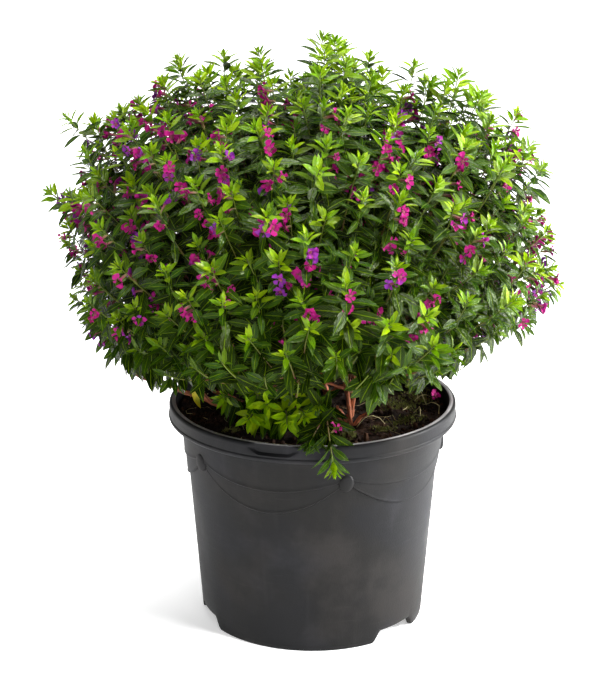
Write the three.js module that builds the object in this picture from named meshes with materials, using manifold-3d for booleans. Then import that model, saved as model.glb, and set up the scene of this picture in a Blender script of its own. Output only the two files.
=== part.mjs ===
// A small-leaved cuphea, an evergreen pot plant with magenta flowers, in its 19 cm nursery pot.
// Millimetres, +Z up. The plant is seen from the front along +Y. The pot stands on its three feet at Z = 0,
// with its axis on the Z axis.
// Pieces: the pot, the soil, three woody crowns that stand in holes in the soil, and the leafy branches
// that grow on from the crowns' twigs, each with its own shoots, leaf pairs and flowers.

import * as THREE from "three";
import { mergeVertices } from "three/addons/utils/BufferGeometryUtils.js";
import Module from "manifold-3d";

const wasm = await Module();
wasm.setup();

const { sin, cos, PI, abs, min, max, sqrt, pow, exp, floor, round } = Math;
const degrees = PI / 180;
const goldenAngle = PI * (3 - sqrt(5));
const seat = 0.35; // gap between pieces that touch

// Pot
const potHeight = 150;
const potSides = 45;
const footRadius = 74; // outside of the wall, at the ground
const wallSlope = 0.0806; // growth of the wall's radius for each mm of height
const wallThickness = 2.2;
const footHeight = 9;
const floorThickness = 2;
const rimRadius = 95.5;
const rimInnerRadius = 90.4;
const rimHeight = 12;
const swagCount = 5;
const swagTurn = 14.6; // degrees from the front to the first boss
const bossHeight = 122;
const bossRadius = 4.6;
const upperSwag = { ends: 124, middle: 115, rise: 0.7, step: 0.5 };
const lowerSwag = { ends: 121.5, middle: 99.5, rise: 1.4, step: 0.7 };
const notchCount = 3;
const notchTurn = 48.5; // degrees from the front to the first gap between the feet
const notchHeight = 8;
const notchHalfWidth = { low: 16, high: 11 }; // degrees
const gripTurns = [-15.2, 164.8]; // degrees, the two finger recesses in the rim
const gripHalfWidth = 8.8; // degrees
const gripDepth = 3;
const gripHeight = 7.5;
const drainCount = 6;
const drainRadius = 5;
const drainCircle = 56;

// Soil
const soilTop = 138;
const soilSides = 24;
const soilLump = 1.6;
const soilWaist = 3.5; // the soil stands a little lower at the wall

// Bush: a rounded mound, in the pot's frame, whose branches all spread from one point near the soil
const origin = new THREE.Vector3(-3, 0, 150);
const middle = new THREE.Vector3(-4, -1, 264);
const bushRadius = 161;
const bushRise = 117; // from the middle to the top
const bushDrop = 118; // from the middle down, where the mound would close
const bushSquareness = 2.3; // 2 is an ellipsoid
const opening = 74; // degrees from upright to the lowest branches
const frontLift = 9; // degrees, the branches over the pot's front edge start higher
const hemHeight = 153; // the bush's lower edge, a little over the rim
const hemStart = 96; // radius past which the lower edge rises outwards
const hemOutward = 0.75; // how steeply it rises outwards
const hemForward = 0.33; // and towards the front, so that the soil and the stems show under it
const viewTilt = 18; // degrees, the tufts below are seen from this far above
const tufts = [
  { at: 80, gain: 0.12, width: 7 },
  { at: 92, gain: -0.1, width: 6 },
  { at: 130, gain: 0.13, width: 8 },
  { at: 142, gain: -0.07, width: 6 },
  { at: 171, gain: -0.035, width: 7 },
  { at: 25, gain: 0.05, width: 12 },
  { at: 55, gain: -0.05, width: 10 },
  { at: -14, gain: 0.06, width: 9 },
  { at: -34, gain: -0.09, width: 8 },
];
const branchCount = 42;
const branchTurn = 0.4; // radians, turns the branches' spiral
const shootCount = 86;
const shootTurn = 1.32;
const reachSpread = 0.09; // how much the shoots differ in length

// Crowns: where the three plants stand in the soil, each in its own sector round the middle
const crowns = [
  { name: "woody_crown_right", x: 25, y: -22, from: -109, to: 16 },
  { name: "woody_crown_back", x: 8, y: 36, from: 16, to: 114 },
  { name: "woody_crown_left", x: -34, y: -2, from: 114, to: 251 },
];
const crownDepth = 26; // of the root end in the soil
const crownRadius = 4.6;
const crownFork = 151; // height where the trunk splits
const limbsEach = 4;
const limbRadius = 2.6;
const twigRadius = 1.5;

// Leafy branches, as shares of the reach from the origin to the bush's surface
const branchStart = 0.42;
const coreRings = [
  { at: 0.57, width: 0.97, notch: 0.62 },
  { at: 0.72, width: 0.97, notch: 0.5 },
];
const coreEnd = 0.84;
const coreTufts = 4; // pointed tufts round each ring
const coreThrust = 0.07; // how far the tufts point outwards
const shootStart = 0.62;
const shootEnd = 1;
const shootRadius = 1.3;
const leafLength = 26;
const leafWidth = 8;
const leafThickness = 1.5; // where it leaves the shoot
const leafRows = [
  { back: 1.5, length: 0.74, rise: 42, skew: 0, leaves: [0, 1, 2, 3] },
  { back: 11, length: 1, rise: 66, skew: 0.7, leaves: [0, 1, 2, 3] },
];
const cellMargin = 0.6; // kept free beside the neighbouring branch's cell
const flowerRadius = 6;
const flowerTube = 11;
const sprayBranches = [2, 7, 9, 12, 18, 20, 23, 24, 27, 33]; // counted from the top, they end in flowers
const sprayFlowers = 3;
const sprayHeight = 9;
const sprayRoom = 15; // radius kept free of leaves round a spray
const sprayRows = [
  { back: 6, length: 0.9, rise: 76, skew: 0, leaves: [0, 1, 2, 3] },
  { back: 15, length: 1, rise: 78, skew: 0.7, leaves: [0, 1, 2, 3] },
];

// Two low sprigs under the bush's front, given by the points that their stems pass, of which the first stretches
// may be bare. Each starts beside a trunk, and its side stem starts inside its main stem.
const sprigs = [
  {
    name: "low_sprig_hanging",
    stems: [
      { route: [[21.9, -25.9, 141], [8, -52, 160], [9, -84, 165], [12, -101, 154], [14, -107, 137]], bare: 1 },
      { route: [[8, -51, 160], [22, -60, 171], [36, -64, 169]], bare: 1 },
    ],
  },
  {
    name: "low_sprig_front",
    stems: [
      { route: [[-31.7, -6.1, 141], [-22, -34, 153], [-16, -64, 164], [-13, -80, 161]], bare: 1 },
      { route: [[-22, -34, 153], [-34, -64, 156]], bare: 0 },
    ],
  },
];
const sprigRows = {
  bare: [{ back: 4, length: 1, width: 1, rise: 60, turn: 0, leaves: [] }],
  middle: [{ back: 8, length: 20, width: 7, rise: 65, turn: 0.4, leaves: [0, 2] }],
  last: [
    { back: 7, length: 17, width: 6, rise: 60, turn: 0, leaves: [0, 1, 2, 3] },
    { back: 1.5, length: 12, width: 5, rise: 35, turn: 0.7, leaves: [0, 1, 2, 3] },
  ],
};

// A repeatable draw from 0 to 1
function draw(item, kind) {
  const wave = sin(item * 127.1 + kind * 311.7) * 43758.5453;
  return wave - floor(wave);
}

// Solids

function asSolid(geometry) {
  const bare = geometry.clone();
  bare.deleteAttribute("normal");
  bare.deleteAttribute("uv");
  const merged = mergeVertices(bare, 1e-4);
  const mesh = new wasm.Mesh({
    numProp: 3,
    vertProperties: Float32Array.from(merged.attributes.position.array),
    triVerts: Uint32Array.from(merged.index.array),
  });
  return new wasm.Manifold(mesh);
}

function asGeometry(solid) {
  const { vertProperties, triVerts } = solid.getMesh();
  const geometry = new THREE.BufferGeometry();
  geometry.setAttribute("position", new THREE.BufferAttribute(vertProperties, 3));
  geometry.setIndex(new THREE.BufferAttribute(triVerts, 1));
  const flat = geometry.toNonIndexed();
  flat.computeVertexNormals();
  return flat;
}

function fuse(pieces) {
  return pieces.map(asSolid).reduce((whole, piece) => whole.add(piece));
}

// A closed skin over rings of points; a ring of one point is a tip. Rings turn anticlockwise seen from the last ring.
function loft(rings) {
  const points = [];
  const starts = [];
  for (const ring of rings) {
    starts.push(points.length);
    points.push(...ring);
  }
  const faces = [];
  for (let k = 0; k + 1 < rings.length; k++) {
    const [lower, upper] = [rings[k].length, rings[k + 1].length];
    const sides = max(lower, upper);
    for (let i = 0; i < sides; i++) {
      const next = (i + 1) % sides;
      const a = starts[k] + (lower > 1 ? i : 0);
      const b = starts[k] + (lower > 1 ? next : 0);
      const c = starts[k + 1] + (upper > 1 ? next : 0);
      const d = starts[k + 1] + (upper > 1 ? i : 0);
      if (lower > 1) faces.push(a, b, c);
      if (upper > 1) faces.push(a, c, d);
    }
  }
  const last = rings.length - 1;
  for (let i = 1; i + 1 < rings[0].length; i++) faces.push(starts[0], starts[0] + i + 1, starts[0] + i);
  for (let i = 1; i + 1 < rings[last].length; i++) faces.push(starts[last], starts[last] + i, starts[last] + i + 1);
  const geometry = new THREE.BufferGeometry().setFromPoints(points);
  geometry.setIndex(faces);
  return geometry;
}

// A ring of points round a centre, square to a direction
function ringRound(centre, direction, radius, sides, turn = 0) {
  const { across, over } = sideways(direction);
  return Array.from({ length: sides }, (_, i) => {
    const angle = turn + (2 * PI * i) / sides;
    return centre
      .clone()
      .addScaledVector(across, radius * cos(angle))
      .addScaledVector(over, radius * sin(angle));
  });
}

// Two unit vectors square to a direction and to each other
function sideways(direction) {
  const across = new THREE.Vector3(-direction.y, direction.x, 0);
  if (across.length() < 0.05) across.set(1, 0, 0);
  across.addScaledVector(direction, -across.dot(direction)).normalize();
  const over = new THREE.Vector3().crossVectors(direction, across).normalize();
  return { across, over };
}

// A stem through points, each with a radius; its two ends are flat and square to the first and last stretch
function stem(points, radii, sides) {
  const rings = points.map((point, k) => {
    const before = points[max(k - 1, 0)];
    const after = points[min(k + 1, points.length - 1)];
    const direction = new THREE.Vector3().subVectors(after, before).normalize();
    return ringRound(point, direction, radii[k], sides);
  });
  return loft(rings);
}

// Pot

function wallRadius(height) {
  return footRadius + wallSlope * height;
}

// Height of a swag's edge at a turn from the front: a parabola between two bosses
function swagEdge(swag, turn) {
  const spacing = 360 / swagCount;
  const along = (((turn - swagTurn) / spacing) % 1 + 1) % 1;
  const fromMiddle = abs(2 * along - 1);
  return swag.middle + (swag.ends - swag.middle) * fromMiddle * fromMiddle;
}

// The relief stands on rows of the wall that follow the swags' edges
function potWall() {
  const rimLow = potHeight - rimHeight;
  const innerRadius = (height) => wallRadius(height) - wallThickness;
  const [inside, under] = [footHeight + floorThickness, footHeight];
  const rows = [
    { r: 0, z: under },
    { r: footRadius - 3, z: under },
    { r: footRadius - 3.4, z: 0 },
    { r: footRadius - 0.8, z: 0 },
    { r: wallRadius(2), z: 2 },
    { swag: lowerSwag, side: -1 },
    { swag: lowerSwag, side: 1 },
    { swag: upperSwag, side: -1 },
    { swag: upperSwag, side: 1 },
    { r: wallRadius(rimLow) + lowerSwag.rise + upperSwag.rise - 0.9, z: rimLow - 0.6 },
    { r: rimRadius - 1.4, z: rimLow },
    { r: rimRadius, z: rimLow + 2 },
    { r: rimRadius - 0.5, z: potHeight - 2.5 },
    { r: rimRadius - 2.4, z: potHeight },
    { r: rimInnerRadius, z: potHeight },
    { r: rimInnerRadius - 0.4, z: rimLow + 2.4 },
    { r: innerRadius(rimLow), z: rimLow },
    { r: innerRadius(inside), z: inside },
    { r: 0, z: inside },
  ];
  const profile = rows.map((row) => new THREE.Vector2(row.r ?? wallRadius(0), row.z ?? 0));
  const wall = new THREE.LatheGeometry(profile, potSides);
  const place = wall.attributes.position;
  for (let i = 0; i < place.count; i++) {
    const row = rows[i % rows.length];
    const turn = swagTurn + (360 * floor(i / rows.length)) / potSides;
    let [r, z] = [row.r, row.z];
    if (row.swag) {
      z = swagEdge(row.swag, turn) + row.side * row.swag.step;
      const under = row.swag === upperSwag ? lowerSwag.rise : 0;
      r = wallRadius(z) + under + (row.side > 0 ? row.swag.rise : 0);
    }
    place.setXYZ(i, r * sin(turn * degrees), -r * cos(turn * degrees), z);
  }
  return wall;
}

// A wedge between two turns and two heights, for cutting the rim and the feet
function wedge(turn, low, high, radii) {
  const corner = (angle, r, z) => new THREE.Vector3(r * sin(angle * degrees), -r * cos(angle * degrees), z);
  const ring = ({ half, z }) => {
    const steps = [-1, -0.33, 0.33, 1];
    const outside = steps.map((s) => corner(turn + s * half, radii.out, z));
    const inside = steps.map((s) => corner(turn + s * half, radii.in, z)).reverse();
    return [...outside, ...inside];
  };
  return loft([ring(low), ring(high)]);
}

function boss(turn) {
  const radius = wallRadius(bossHeight) + lowerSwag.rise + upperSwag.rise;
  const knob = new THREE.CylinderGeometry(bossRadius, bossRadius - 1, 5, 8);
  knob.translate(0, -radius + 0.4, bossHeight);
  knob.rotateZ(turn * degrees);
  return knob;
}

function drain(turn) {
  const hole = new THREE.CylinderGeometry(drainRadius, drainRadius, 3 * floorThickness, 8);
  hole.rotateX(PI / 2);
  hole.translate(0, -drainCircle, footHeight + floorThickness / 2);
  hole.rotateZ(turn * degrees);
  return hole;
}

function makePot() {
  let pot = asSolid(potWall());
  for (let i = 0; i < swagCount; i++) pot = pot.add(asSolid(boss(swagTurn + (360 * i) / swagCount)));
  const footRadii = { in: footRadius - 9, out: footRadius + 9 };
  for (let i = 0; i < notchCount; i++) {
    const turn = notchTurn + (360 * i) / notchCount;
    const low = { half: notchHalfWidth.low + 1, z: -1 };
    const high = { half: notchHalfWidth.high, z: notchHeight };
    pot = pot.subtract(asSolid(wedge(turn, low, high, footRadii)));
  }
  const gripRadii = { in: rimRadius - gripDepth, out: rimRadius + 4 };
  for (const turn of gripTurns) {
    const low = { half: gripHalfWidth - 1.2, z: potHeight - gripHeight };
    const high = { half: gripHalfWidth, z: potHeight + 1 };
    pot = pot.subtract(asSolid(wedge(turn, low, high, gripRadii)));
  }
  for (let i = 0; i < drainCount; i++) pot = pot.subtract(asSolid(drain((360 * (i + 0.5)) / drainCount)));
  return asGeometry(pot);
}

// Soil

function soilHeight(x, y) {
  const share = sqrt(x * x + y * y) / wallRadius(soilTop);
  const lumps = sin(x * 0.13 + 1.1) * cos(y * 0.11 - 0.4) + 0.6 * sin(x * 0.29 - y * 0.23 + 2.2);
  return soilTop + soilLump * lumps - soilWaist * pow(share, 4);
}

function makeSoil() {
  const bottom = footHeight + floorThickness + seat;
  const radiusAt = (height) => wallRadius(height) - wallThickness - seat;
  const shares = [0, 0.33, 0.67, 1];
  const profile = [new THREE.Vector2(0, bottom), new THREE.Vector2(radiusAt(bottom), bottom)];
  const edge = radiusAt(soilTop - soilWaist - 3);
  for (const share of [...shares].reverse()) profile.push(new THREE.Vector2(edge * share, soilTop));
  const body = new THREE.LatheGeometry(profile, soilSides);
  const place = body.attributes.position;
  for (let i = 0; i < place.count; i++) {
    const row = i % profile.length;
    const turn = (2 * PI * floor(i / profile.length)) / soilSides;
    const r = profile[row].x;
    const [x, y] = [r * sin(turn), -r * cos(turn)];
    place.setXYZ(i, x, y, row < 2 ? bottom : soilHeight(x, y));
  }
  let soil = asSolid(body);
  for (const crown of crowns) {
    const depth = crownDepth + seat;
    const hole = new THREE.CylinderGeometry(crownRadius + seat, crownRadius + seat, 2 * depth, 8);
    hole.rotateX(PI / 2);
    hole.translate(crown.x, crown.y, soilTop);
    soil = soil.subtract(asSolid(hole));
  }
  return asGeometry(soil);
}

// Bush layout

// How much further out than a plain mound the bush reaches, from the tufts of its outline
function tuftGain(way) {
  const seenUp = way.y * sin(viewTilt * degrees) + way.z * cos(viewTilt * degrees);
  const seenTurn = Math.atan2(seenUp, way.x) / degrees;
  const atOutline = pow(way.x ** 2 + seenUp ** 2, 3);
  let gain = 0;
  for (const tuft of tufts) {
    const away = ((seenTurn - tuft.at + 540) % 360) - 180;
    gain += tuft.gain * exp(-((away / tuft.width) ** 2));
  }
  return gain * atOutline;
}

// 0 at the bush's middle, 1 on its surface: a squarish ellipsoid with tufts
function depth(point) {
  const way = new THREE.Vector3().subVectors(point, middle);
  const wide = sqrt(way.x ** 2 + way.y ** 2) / bushRadius;
  const tall = abs(way.z) / (way.z > 0 ? bushRise : bushDrop);
  const plain = pow(pow(wide, bushSquareness) + pow(tall, bushSquareness), 1 / bushSquareness);
  return plain / (1 + tuftGain(way.normalize()));
}

// Distance from the origin to the bush's surface in a direction, by halving
function reach(direction) {
  let [inside, outside] = [0, 400];
  for (let i = 0; i < 20; i++) {
    const half = (inside + outside) / 2;
    if (depth(origin.clone().addScaledVector(direction, half)) < 1) inside = half;
    else outside = half;
  }
  return inside;
}

// Directions spread evenly over the cone that the bush fills, by the golden angle
function spread(count, turn) {
  return Array.from({ length: count }, (_, i) => {
    const azimuth = i * goldenAngle + turn;
    const polar = Math.acos(1 - ((i + 0.5) / count) * (1 - cos(opening * degrees)));
    const front = pow(max(0, -sin(azimuth)), 2);
    const lifted = polar * (1 - (frontLift / opening) * front);
    return new THREE.Vector3(sin(lifted) * cos(azimuth), sin(lifted) * sin(azimuth), cos(lifted));
  });
}

function nearest(direction, others) {
  let best = 0;
  others.forEach((other, k) => {
    if (other.dot(direction) > others[best].dot(direction)) best = k;
  });
  return best;
}

// Planes under a branch: level, rising towards the front, and rising outwards along the branch
function hemPlanes(direction) {
  const outward = direction.clone().setZ(0).normalize();
  return [
    { normal: new THREE.Vector3(0, 0, 1), offset: hemHeight },
    { normal: new THREE.Vector3(0, hemForward, 1), offset: hemHeight },
    { normal: outward.multiplyScalar(-hemOutward).setZ(1), offset: hemHeight - hemOutward * hemStart },
  ];
}

// Free way from a point in a branch's cell, along a direction, to the planes that part it from its neighbours
// and to those under it
function freeWay(point, way, own, directions) {
  const from = new THREE.Vector3().subVectors(point, origin);
  let free = 1e3;
  directions.forEach((other, k) => {
    if (k === own || other.dot(directions[own]) < 0.5) return;
    const normal = new THREE.Vector3().subVectors(directions[own], other).normalize();
    const speed = -way.dot(normal);
    if (speed > 1e-6) free = min(free, (from.dot(normal) - cellMargin) / speed);
  });
  for (const { normal, offset } of hemPlanes(directions[own])) {
    const speed = -way.dot(normal);
    if (speed > 1e-6) free = min(free, (point.dot(normal) - offset) / speed);
  }
  return free;
}

function inCell(point, own, directions, spray) {
  if (spray && point.distanceTo(spray.centre) < sprayRoom) return false;
  const overPot = sqrt(point.x ** 2 + point.y ** 2) < rimRadius + 2;
  if (own === undefined) return !overPot || point.z > potHeight + 2;
  if (hemPlanes(directions[own]).some(({ normal, offset }) => point.dot(normal) < offset)) return false;
  return freeWay(origin, new THREE.Vector3().subVectors(point, origin), own, directions) > 1;
}

function along(direction, share) {
  return origin.clone().addScaledVector(direction, reach(direction) * share);
}

// Woody crowns

function makeCrown(crown, roots) {
  const fork = new THREE.Vector3(crown.x, crown.y, crownFork);
  const foot = new THREE.Vector3(crown.x, crown.y, soilTop - crownDepth);
  const trunk = stem([foot, fork], [crownRadius, crownRadius * 0.85], 6);
  const turned = roots
    .map((root) => ({ root, turn: Math.atan2(root.y - fork.y, root.x - fork.x) }))
    .sort((a, b) => a.turn - b.turn)
    .map(({ root }) => root);
  const pieces = [trunk];
  const ways = new Map();
  const inTrunk = new THREE.Vector3(crown.x, crown.y, crownFork - 6);
  const share = turned.length / limbsEach;
  for (let k = 0; k < limbsEach; k++) {
    const group = turned.slice(round(k * share), round((k + 1) * share)).sort((a, b) => a.z - b.z);
    const last = group.pop();
    const spine = new THREE.Vector3().subVectors(last, inTrunk);
    const knee = inTrunk.clone().addScaledVector(spine, 0.6).setZ(inTrunk.z + spine.z * 0.66);
    const lastWay = new THREE.Vector3().subVectors(last, knee).normalize();
    pieces.push(stem([inTrunk, knee, last], [limbRadius, limbRadius * 0.8, twigRadius], 4));
    ways.set(last, lastWay);
    group.forEach((root, j) => {
      const start = inTrunk.clone().lerp(knee, (j + 1) / (group.length + 0.6));
      const way = new THREE.Vector3().subVectors(root, start).normalize();
      pieces.push(stem([start, root], [twigRadius * 1.1, twigRadius], 3));
      ways.set(root, way);
    });
  }
  return { geometry: asGeometry(fuse(pieces)), ways };
}

// Leafy branches

// A shoot in one skin: a square stem from its foot to its bud. At each row its sides are drawn out into leaves,
// which are lifted towards the shoot, or left out, where they would leave the branch's cell. A cut shoot ends flat.
function shootSkin({ foot, bud, rows, radius, own, directions, spray, cut }) {
  const axis = new THREE.Vector3().subVectors(bud, foot).normalize();
  const { across, over } = sideways(axis);
  const points = [];
  const faces = [];
  const add = (point) => points.push(point) - 1;
  const corners = (centre, size, turn) =>
    [0, 1, 2, 3].map((i) => {
      const angle = turn + (i - 0.5) * (PI / 2);
      return add(
        centre.clone().addScaledVector(across, size * cos(angle)).addScaledVector(over, size * sin(angle)),
      );
    });
  const band = (lower, upper, i) => {
    const next = (i + 1) % 4;
    faces.push(lower[i], lower[next], upper[next], lower[i], upper[next], upper[i]);
  };
  const leaf = (centre, row, number) => {
    const turn = row.turn + (number * PI) / 2;
    const outward = across.clone().multiplyScalar(cos(turn)).addScaledVector(over, sin(turn));
    const flat = new THREE.Vector3().crossVectors(axis, outward);
    if (!row.leaves.includes(number)) return null;
    for (let attempt = 0; attempt < 8; attempt++) {
      const angle = (row.rise - floor(attempt / 2) * 12) * degrees;
      const length = row.length * (attempt % 2 ? 0.8 : 1);
      const way = axis.clone().multiplyScalar(cos(angle)).addScaledVector(outward, sin(angle));
      const under = axis.clone().multiplyScalar(-sin(angle)).addScaledVector(outward, cos(angle));
      const belly = centre.clone().addScaledVector(way, length * 0.45);
      const tip = centre.clone().addScaledVector(way, length).addScaledVector(under, length * 0.08);
      const left = belly.clone().addScaledVector(flat, -row.width / 2);
      const right = belly.clone().addScaledVector(flat, row.width / 2);
      const outer = belly.clone().lerp(tip, 0.5);
      if ([left, right, tip, belly, outer].every((point) => inCell(point, own, directions, spray))) {
        return [left, tip, right];
      }
    }
    return null;
  };
  const base = corners(foot, radius, rows[0].turn);
  faces.push(base[0], base[2], base[1], base[0], base[3], base[2]);
  let below = base;
  for (const row of rows) {
    const centre = bud.clone().addScaledVector(axis, -row.back);
    const lower = corners(centre.clone().addScaledVector(axis, -leafThickness / 2), radius * 0.95, row.turn);
    const upper = corners(centre.clone().addScaledVector(axis, leafThickness / 2), radius * 0.95, row.turn);
    for (let i = 0; i < 4; i++) band(below, lower, i);
    for (let i = 0; i < 4; i++) {
      const blade = leaf(centre, row, i);
      if (!blade) {
        band(lower, upper, i);
        continue;
      }
      const next = (i + 1) % 4;
      const [left, tip, right] = blade.map(add);
      faces.push(lower[i], left, upper[i], lower[next], upper[next], right);
      faces.push(upper[i], left, tip, upper[i], tip, upper[next], upper[next], tip, right);
      faces.push(lower[i], tip, left, lower[i], lower[next], tip, lower[next], right, tip);
    }
    below = upper;
  }
  if (cut) {
    const end = corners(bud, radius, rows.at(-1).turn);
    for (let i = 0; i < 4; i++) band(below, end, i);
    faces.push(end[0], end[1], end[2], end[0], end[2], end[3]);
  } else {
    const top = add(bud.clone().addScaledVector(axis, 3));
    for (let i = 0; i < 4; i++) faces.push(below[i], below[(i + 1) % 4], top);
  }
  const geometry = new THREE.BufferGeometry().setFromPoints(points);
  geometry.setIndex(faces);
  return geometry;
}

// A six-lobed flower on its tube: a star whose rim stands round a sunk throat, drawn out to a point behind
function flower(throat, axis) {
  const rim = ringRound(throat, axis, 1, 12).map((point, i) => {
    const out = point.sub(throat);
    const lobe = i % 2 === 0;
    return throat
      .clone()
      .addScaledVector(out, flowerRadius * (lobe ? 1 : 0.42))
      .addScaledVector(axis, lobe ? 1.6 : 0.4);
  });
  const back = throat.clone().addScaledVector(axis, -flowerTube);
  return loft([[back], rim, [throat.clone().addScaledVector(axis, 0.2)]]);
}

// The branch's own stem, which grows on from the crown's twig and widens into the ragged inside of the bush
function core(own, directions, root, twigWay) {
  const axis = directions[own];
  const start = root.clone().addScaledVector(twigWay, seat);
  const sides = 2 * coreTufts;
  const rings = [ringRound(start, twigWay, twigRadius, sides)];
  coreRings.forEach(({ at, width, notch }, k) => {
    const turn = (k * PI) / coreTufts;
    const ring = ringRound(origin, axis, 1, sides, turn).map((point, i) => {
      const way = point.sub(origin);
      const tuft = i % 2 === 0;
      const centre = along(axis, at + (tuft ? coreThrust : -coreThrust / 2));
      const uneven = 0.88 + 0.12 * draw(own * 31 + i, k);
      const free = min(freeWay(centre, way, own, directions), 35);
      return centre.clone().addScaledVector(way, free * uneven * (tuft ? width : width * notch));
    });
    rings.push(ring);
  });
  return loft([...rings, [along(axis, coreEnd)]]);
}

function rowsFor(plan, size, turn) {
  return [...plan].reverse().map((row) => ({
    ...row,
    length: leafLength * size * row.length,
    width: leafWidth * size * sqrt(row.length),
    turn: turn + row.skew,
  }));
}

function shoot(index, direction, own, directions, spray) {
  const length = 1 - reachSpread * draw(index, 1);
  const inner = direction.clone().lerp(directions[own], 0.75).normalize();
  const foot = along(inner, shootStart * length);
  const bud = along(direction, shootEnd * length);
  if (spray && bud.distanceTo(spray.centre) < 1.5 * sprayRoom) return null;
  const rows = rowsFor(leafRows, 0.9 + 0.25 * draw(index, 2), draw(index, 3) * PI);
  return shootSkin({ foot, bud, rows, radius: shootRadius, own, directions, spray });
}

function sprayOf(own, directions) {
  if (!sprayBranches.includes(own)) return null;
  const axis = directions[own];
  const root = along(axis, shootEnd).addScaledVector(axis, -sprayHeight);
  return { root, axis, centre: root.clone().addScaledVector(axis, sprayHeight / 2) };
}

function makeBranch(own, directions, shoots, root, twigWay, spray) {
  const pieces = [core(own, directions, root, twigWay)];
  for (const { index, direction } of shoots) pieces.push(shoot(index, direction, own, directions, spray));
  if (spray) {
    const foot = along(spray.axis, shootStart);
    const rows = rowsFor(sprayRows, 1, draw(own, 6) * PI);
    pieces.push(shootSkin({ foot, bud: spray.root, rows, radius: shootRadius, own, directions, cut: true }));
  }
  return asGeometry(fuse(pieces.filter(Boolean)));
}

function makeSpray({ root, axis }, own, directions) {
  const { across, over } = sideways(axis);
  const point = (height) => root.clone().addScaledVector(axis, height);
  const base = ringRound(point(seat), axis, shootRadius, 4);
  const pieces = [loft([base, [point(sprayHeight)]])];
  for (let k = 0; k < sprayFlowers; k++) {
    const angle = (k * 2 * PI) / sprayFlowers + draw(own, 7);
    const side = across.clone().multiplyScalar(cos(angle)).addScaledVector(over, sin(angle));
    const faced = axis.clone().multiplyScalar(0.42).addScaledVector(side, 0.91).normalize();
    const throat = point(1.6 + 1.4 * k).addScaledVector(faced, flowerTube - 0.6);
    const ways = [across, over, across.clone().negate(), over.clone().negate()];
    const room = ways.every((way) => freeWay(throat, way, own, directions) > flowerRadius);
    if (room) pieces.push(flower(throat, faced));
  }
  return asGeometry(fuse(pieces));
}

function makeSprig({ stems }) {
  const pieces = [];
  for (const { route, bare } of stems) {
    const points = route.map(([x, y, z]) => new THREE.Vector3(x, y, z));
    for (let k = 1; k < points.length; k++) {
      const rows = k === points.length - 1 ? sprigRows.last : k <= bare ? sprigRows.bare : sprigRows.middle;
      const foot = points[k - 1].clone().lerp(points[k], k > 1 ? -0.06 : 0);
      pieces.push(shootSkin({ foot, bud: points[k], rows, radius: shootRadius }));
    }
  }
  return asGeometry(fuse(pieces));
}

// Materials, one for each finish

const finishes = {
  petal: new THREE.MeshStandardMaterial({ color: 0xc02a8a, roughness: 0.6, metalness: 0 }),
  plastic: new THREE.MeshStandardMaterial({ color: 0x46474a, roughness: 0.55, metalness: 0 }),
  soil: new THREE.MeshStandardMaterial({ color: 0x2a1d15, roughness: 1, metalness: 0 }),
  bark: new THREE.MeshStandardMaterial({ color: 0x8a4f34, roughness: 0.85, metalness: 0 }),
  leaf: new THREE.MeshStandardMaterial({ color: 0x4f8a1c, roughness: 0.4, metalness: 0 }),
};

function assemble() {
  const plant = new THREE.Group();
  const place = (name, geometry, finish) => {
    const mesh = new THREE.Mesh(geometry, finish);
    mesh.name = name;
    plant.add(mesh);
  };
  place("pot", makePot(), finishes.plastic);
  place("soil", makeSoil(), finishes.soil);

  const directions = spread(branchCount, branchTurn);
  const shootsOf = directions.map(() => []);
  spread(shootCount, shootTurn).forEach((direction, index) => {
    shootsOf[nearest(direction, directions)].push({ index, direction });
  });
  const roots = directions.map((direction) => along(direction, branchStart));
  const twigWays = new Map();
  for (const crown of crowns) {
    const own = roots.filter((root) => {
      const turn = Math.atan2(root.y - origin.y, root.x - origin.x) / degrees;
      return (turn - crown.from + 720) % 360 < crown.to - crown.from;
    });
    const { geometry, ways } = makeCrown(crown, own);
    place(crown.name, geometry, finishes.bark);
    ways.forEach((way, root) => twigWays.set(root, way));
  }
  let sprays = 0;
  directions.forEach((_, own) => {
    const name = `leafy_branch_${String(own + 1).padStart(2, "0")}`;
    const spray = sprayOf(own, directions);
    const root = roots[own];
    place(name, makeBranch(own, directions, shootsOf[own], root, twigWays.get(root), spray), finishes.leaf);
    if (!spray) return;
    sprays += 1;
    const sprayName = `flower_spray_${String(sprays).padStart(2, "0")}`;
    place(sprayName, makeSpray(spray, own, directions), finishes.petal);
  });
  sprigs.forEach((sprig) => place(sprig.name, makeSprig(sprig), finishes.leaf));
  return plant;
}

export default assemble();
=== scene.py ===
"""Fine surfaces for a small-leaved cuphea in its nursery pot, laid out as an add-on and run as a script.

Shapes are worked out in millimetres, as on the part's drawing, with +Z up and -Y towards the viewer,
and put_mesh turns them into metres. The bush is laid out by the solids' rules, with more shoots than
they have, tufts turned by a few degrees and a few shoots that stray.
"""

import functools
import math

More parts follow.
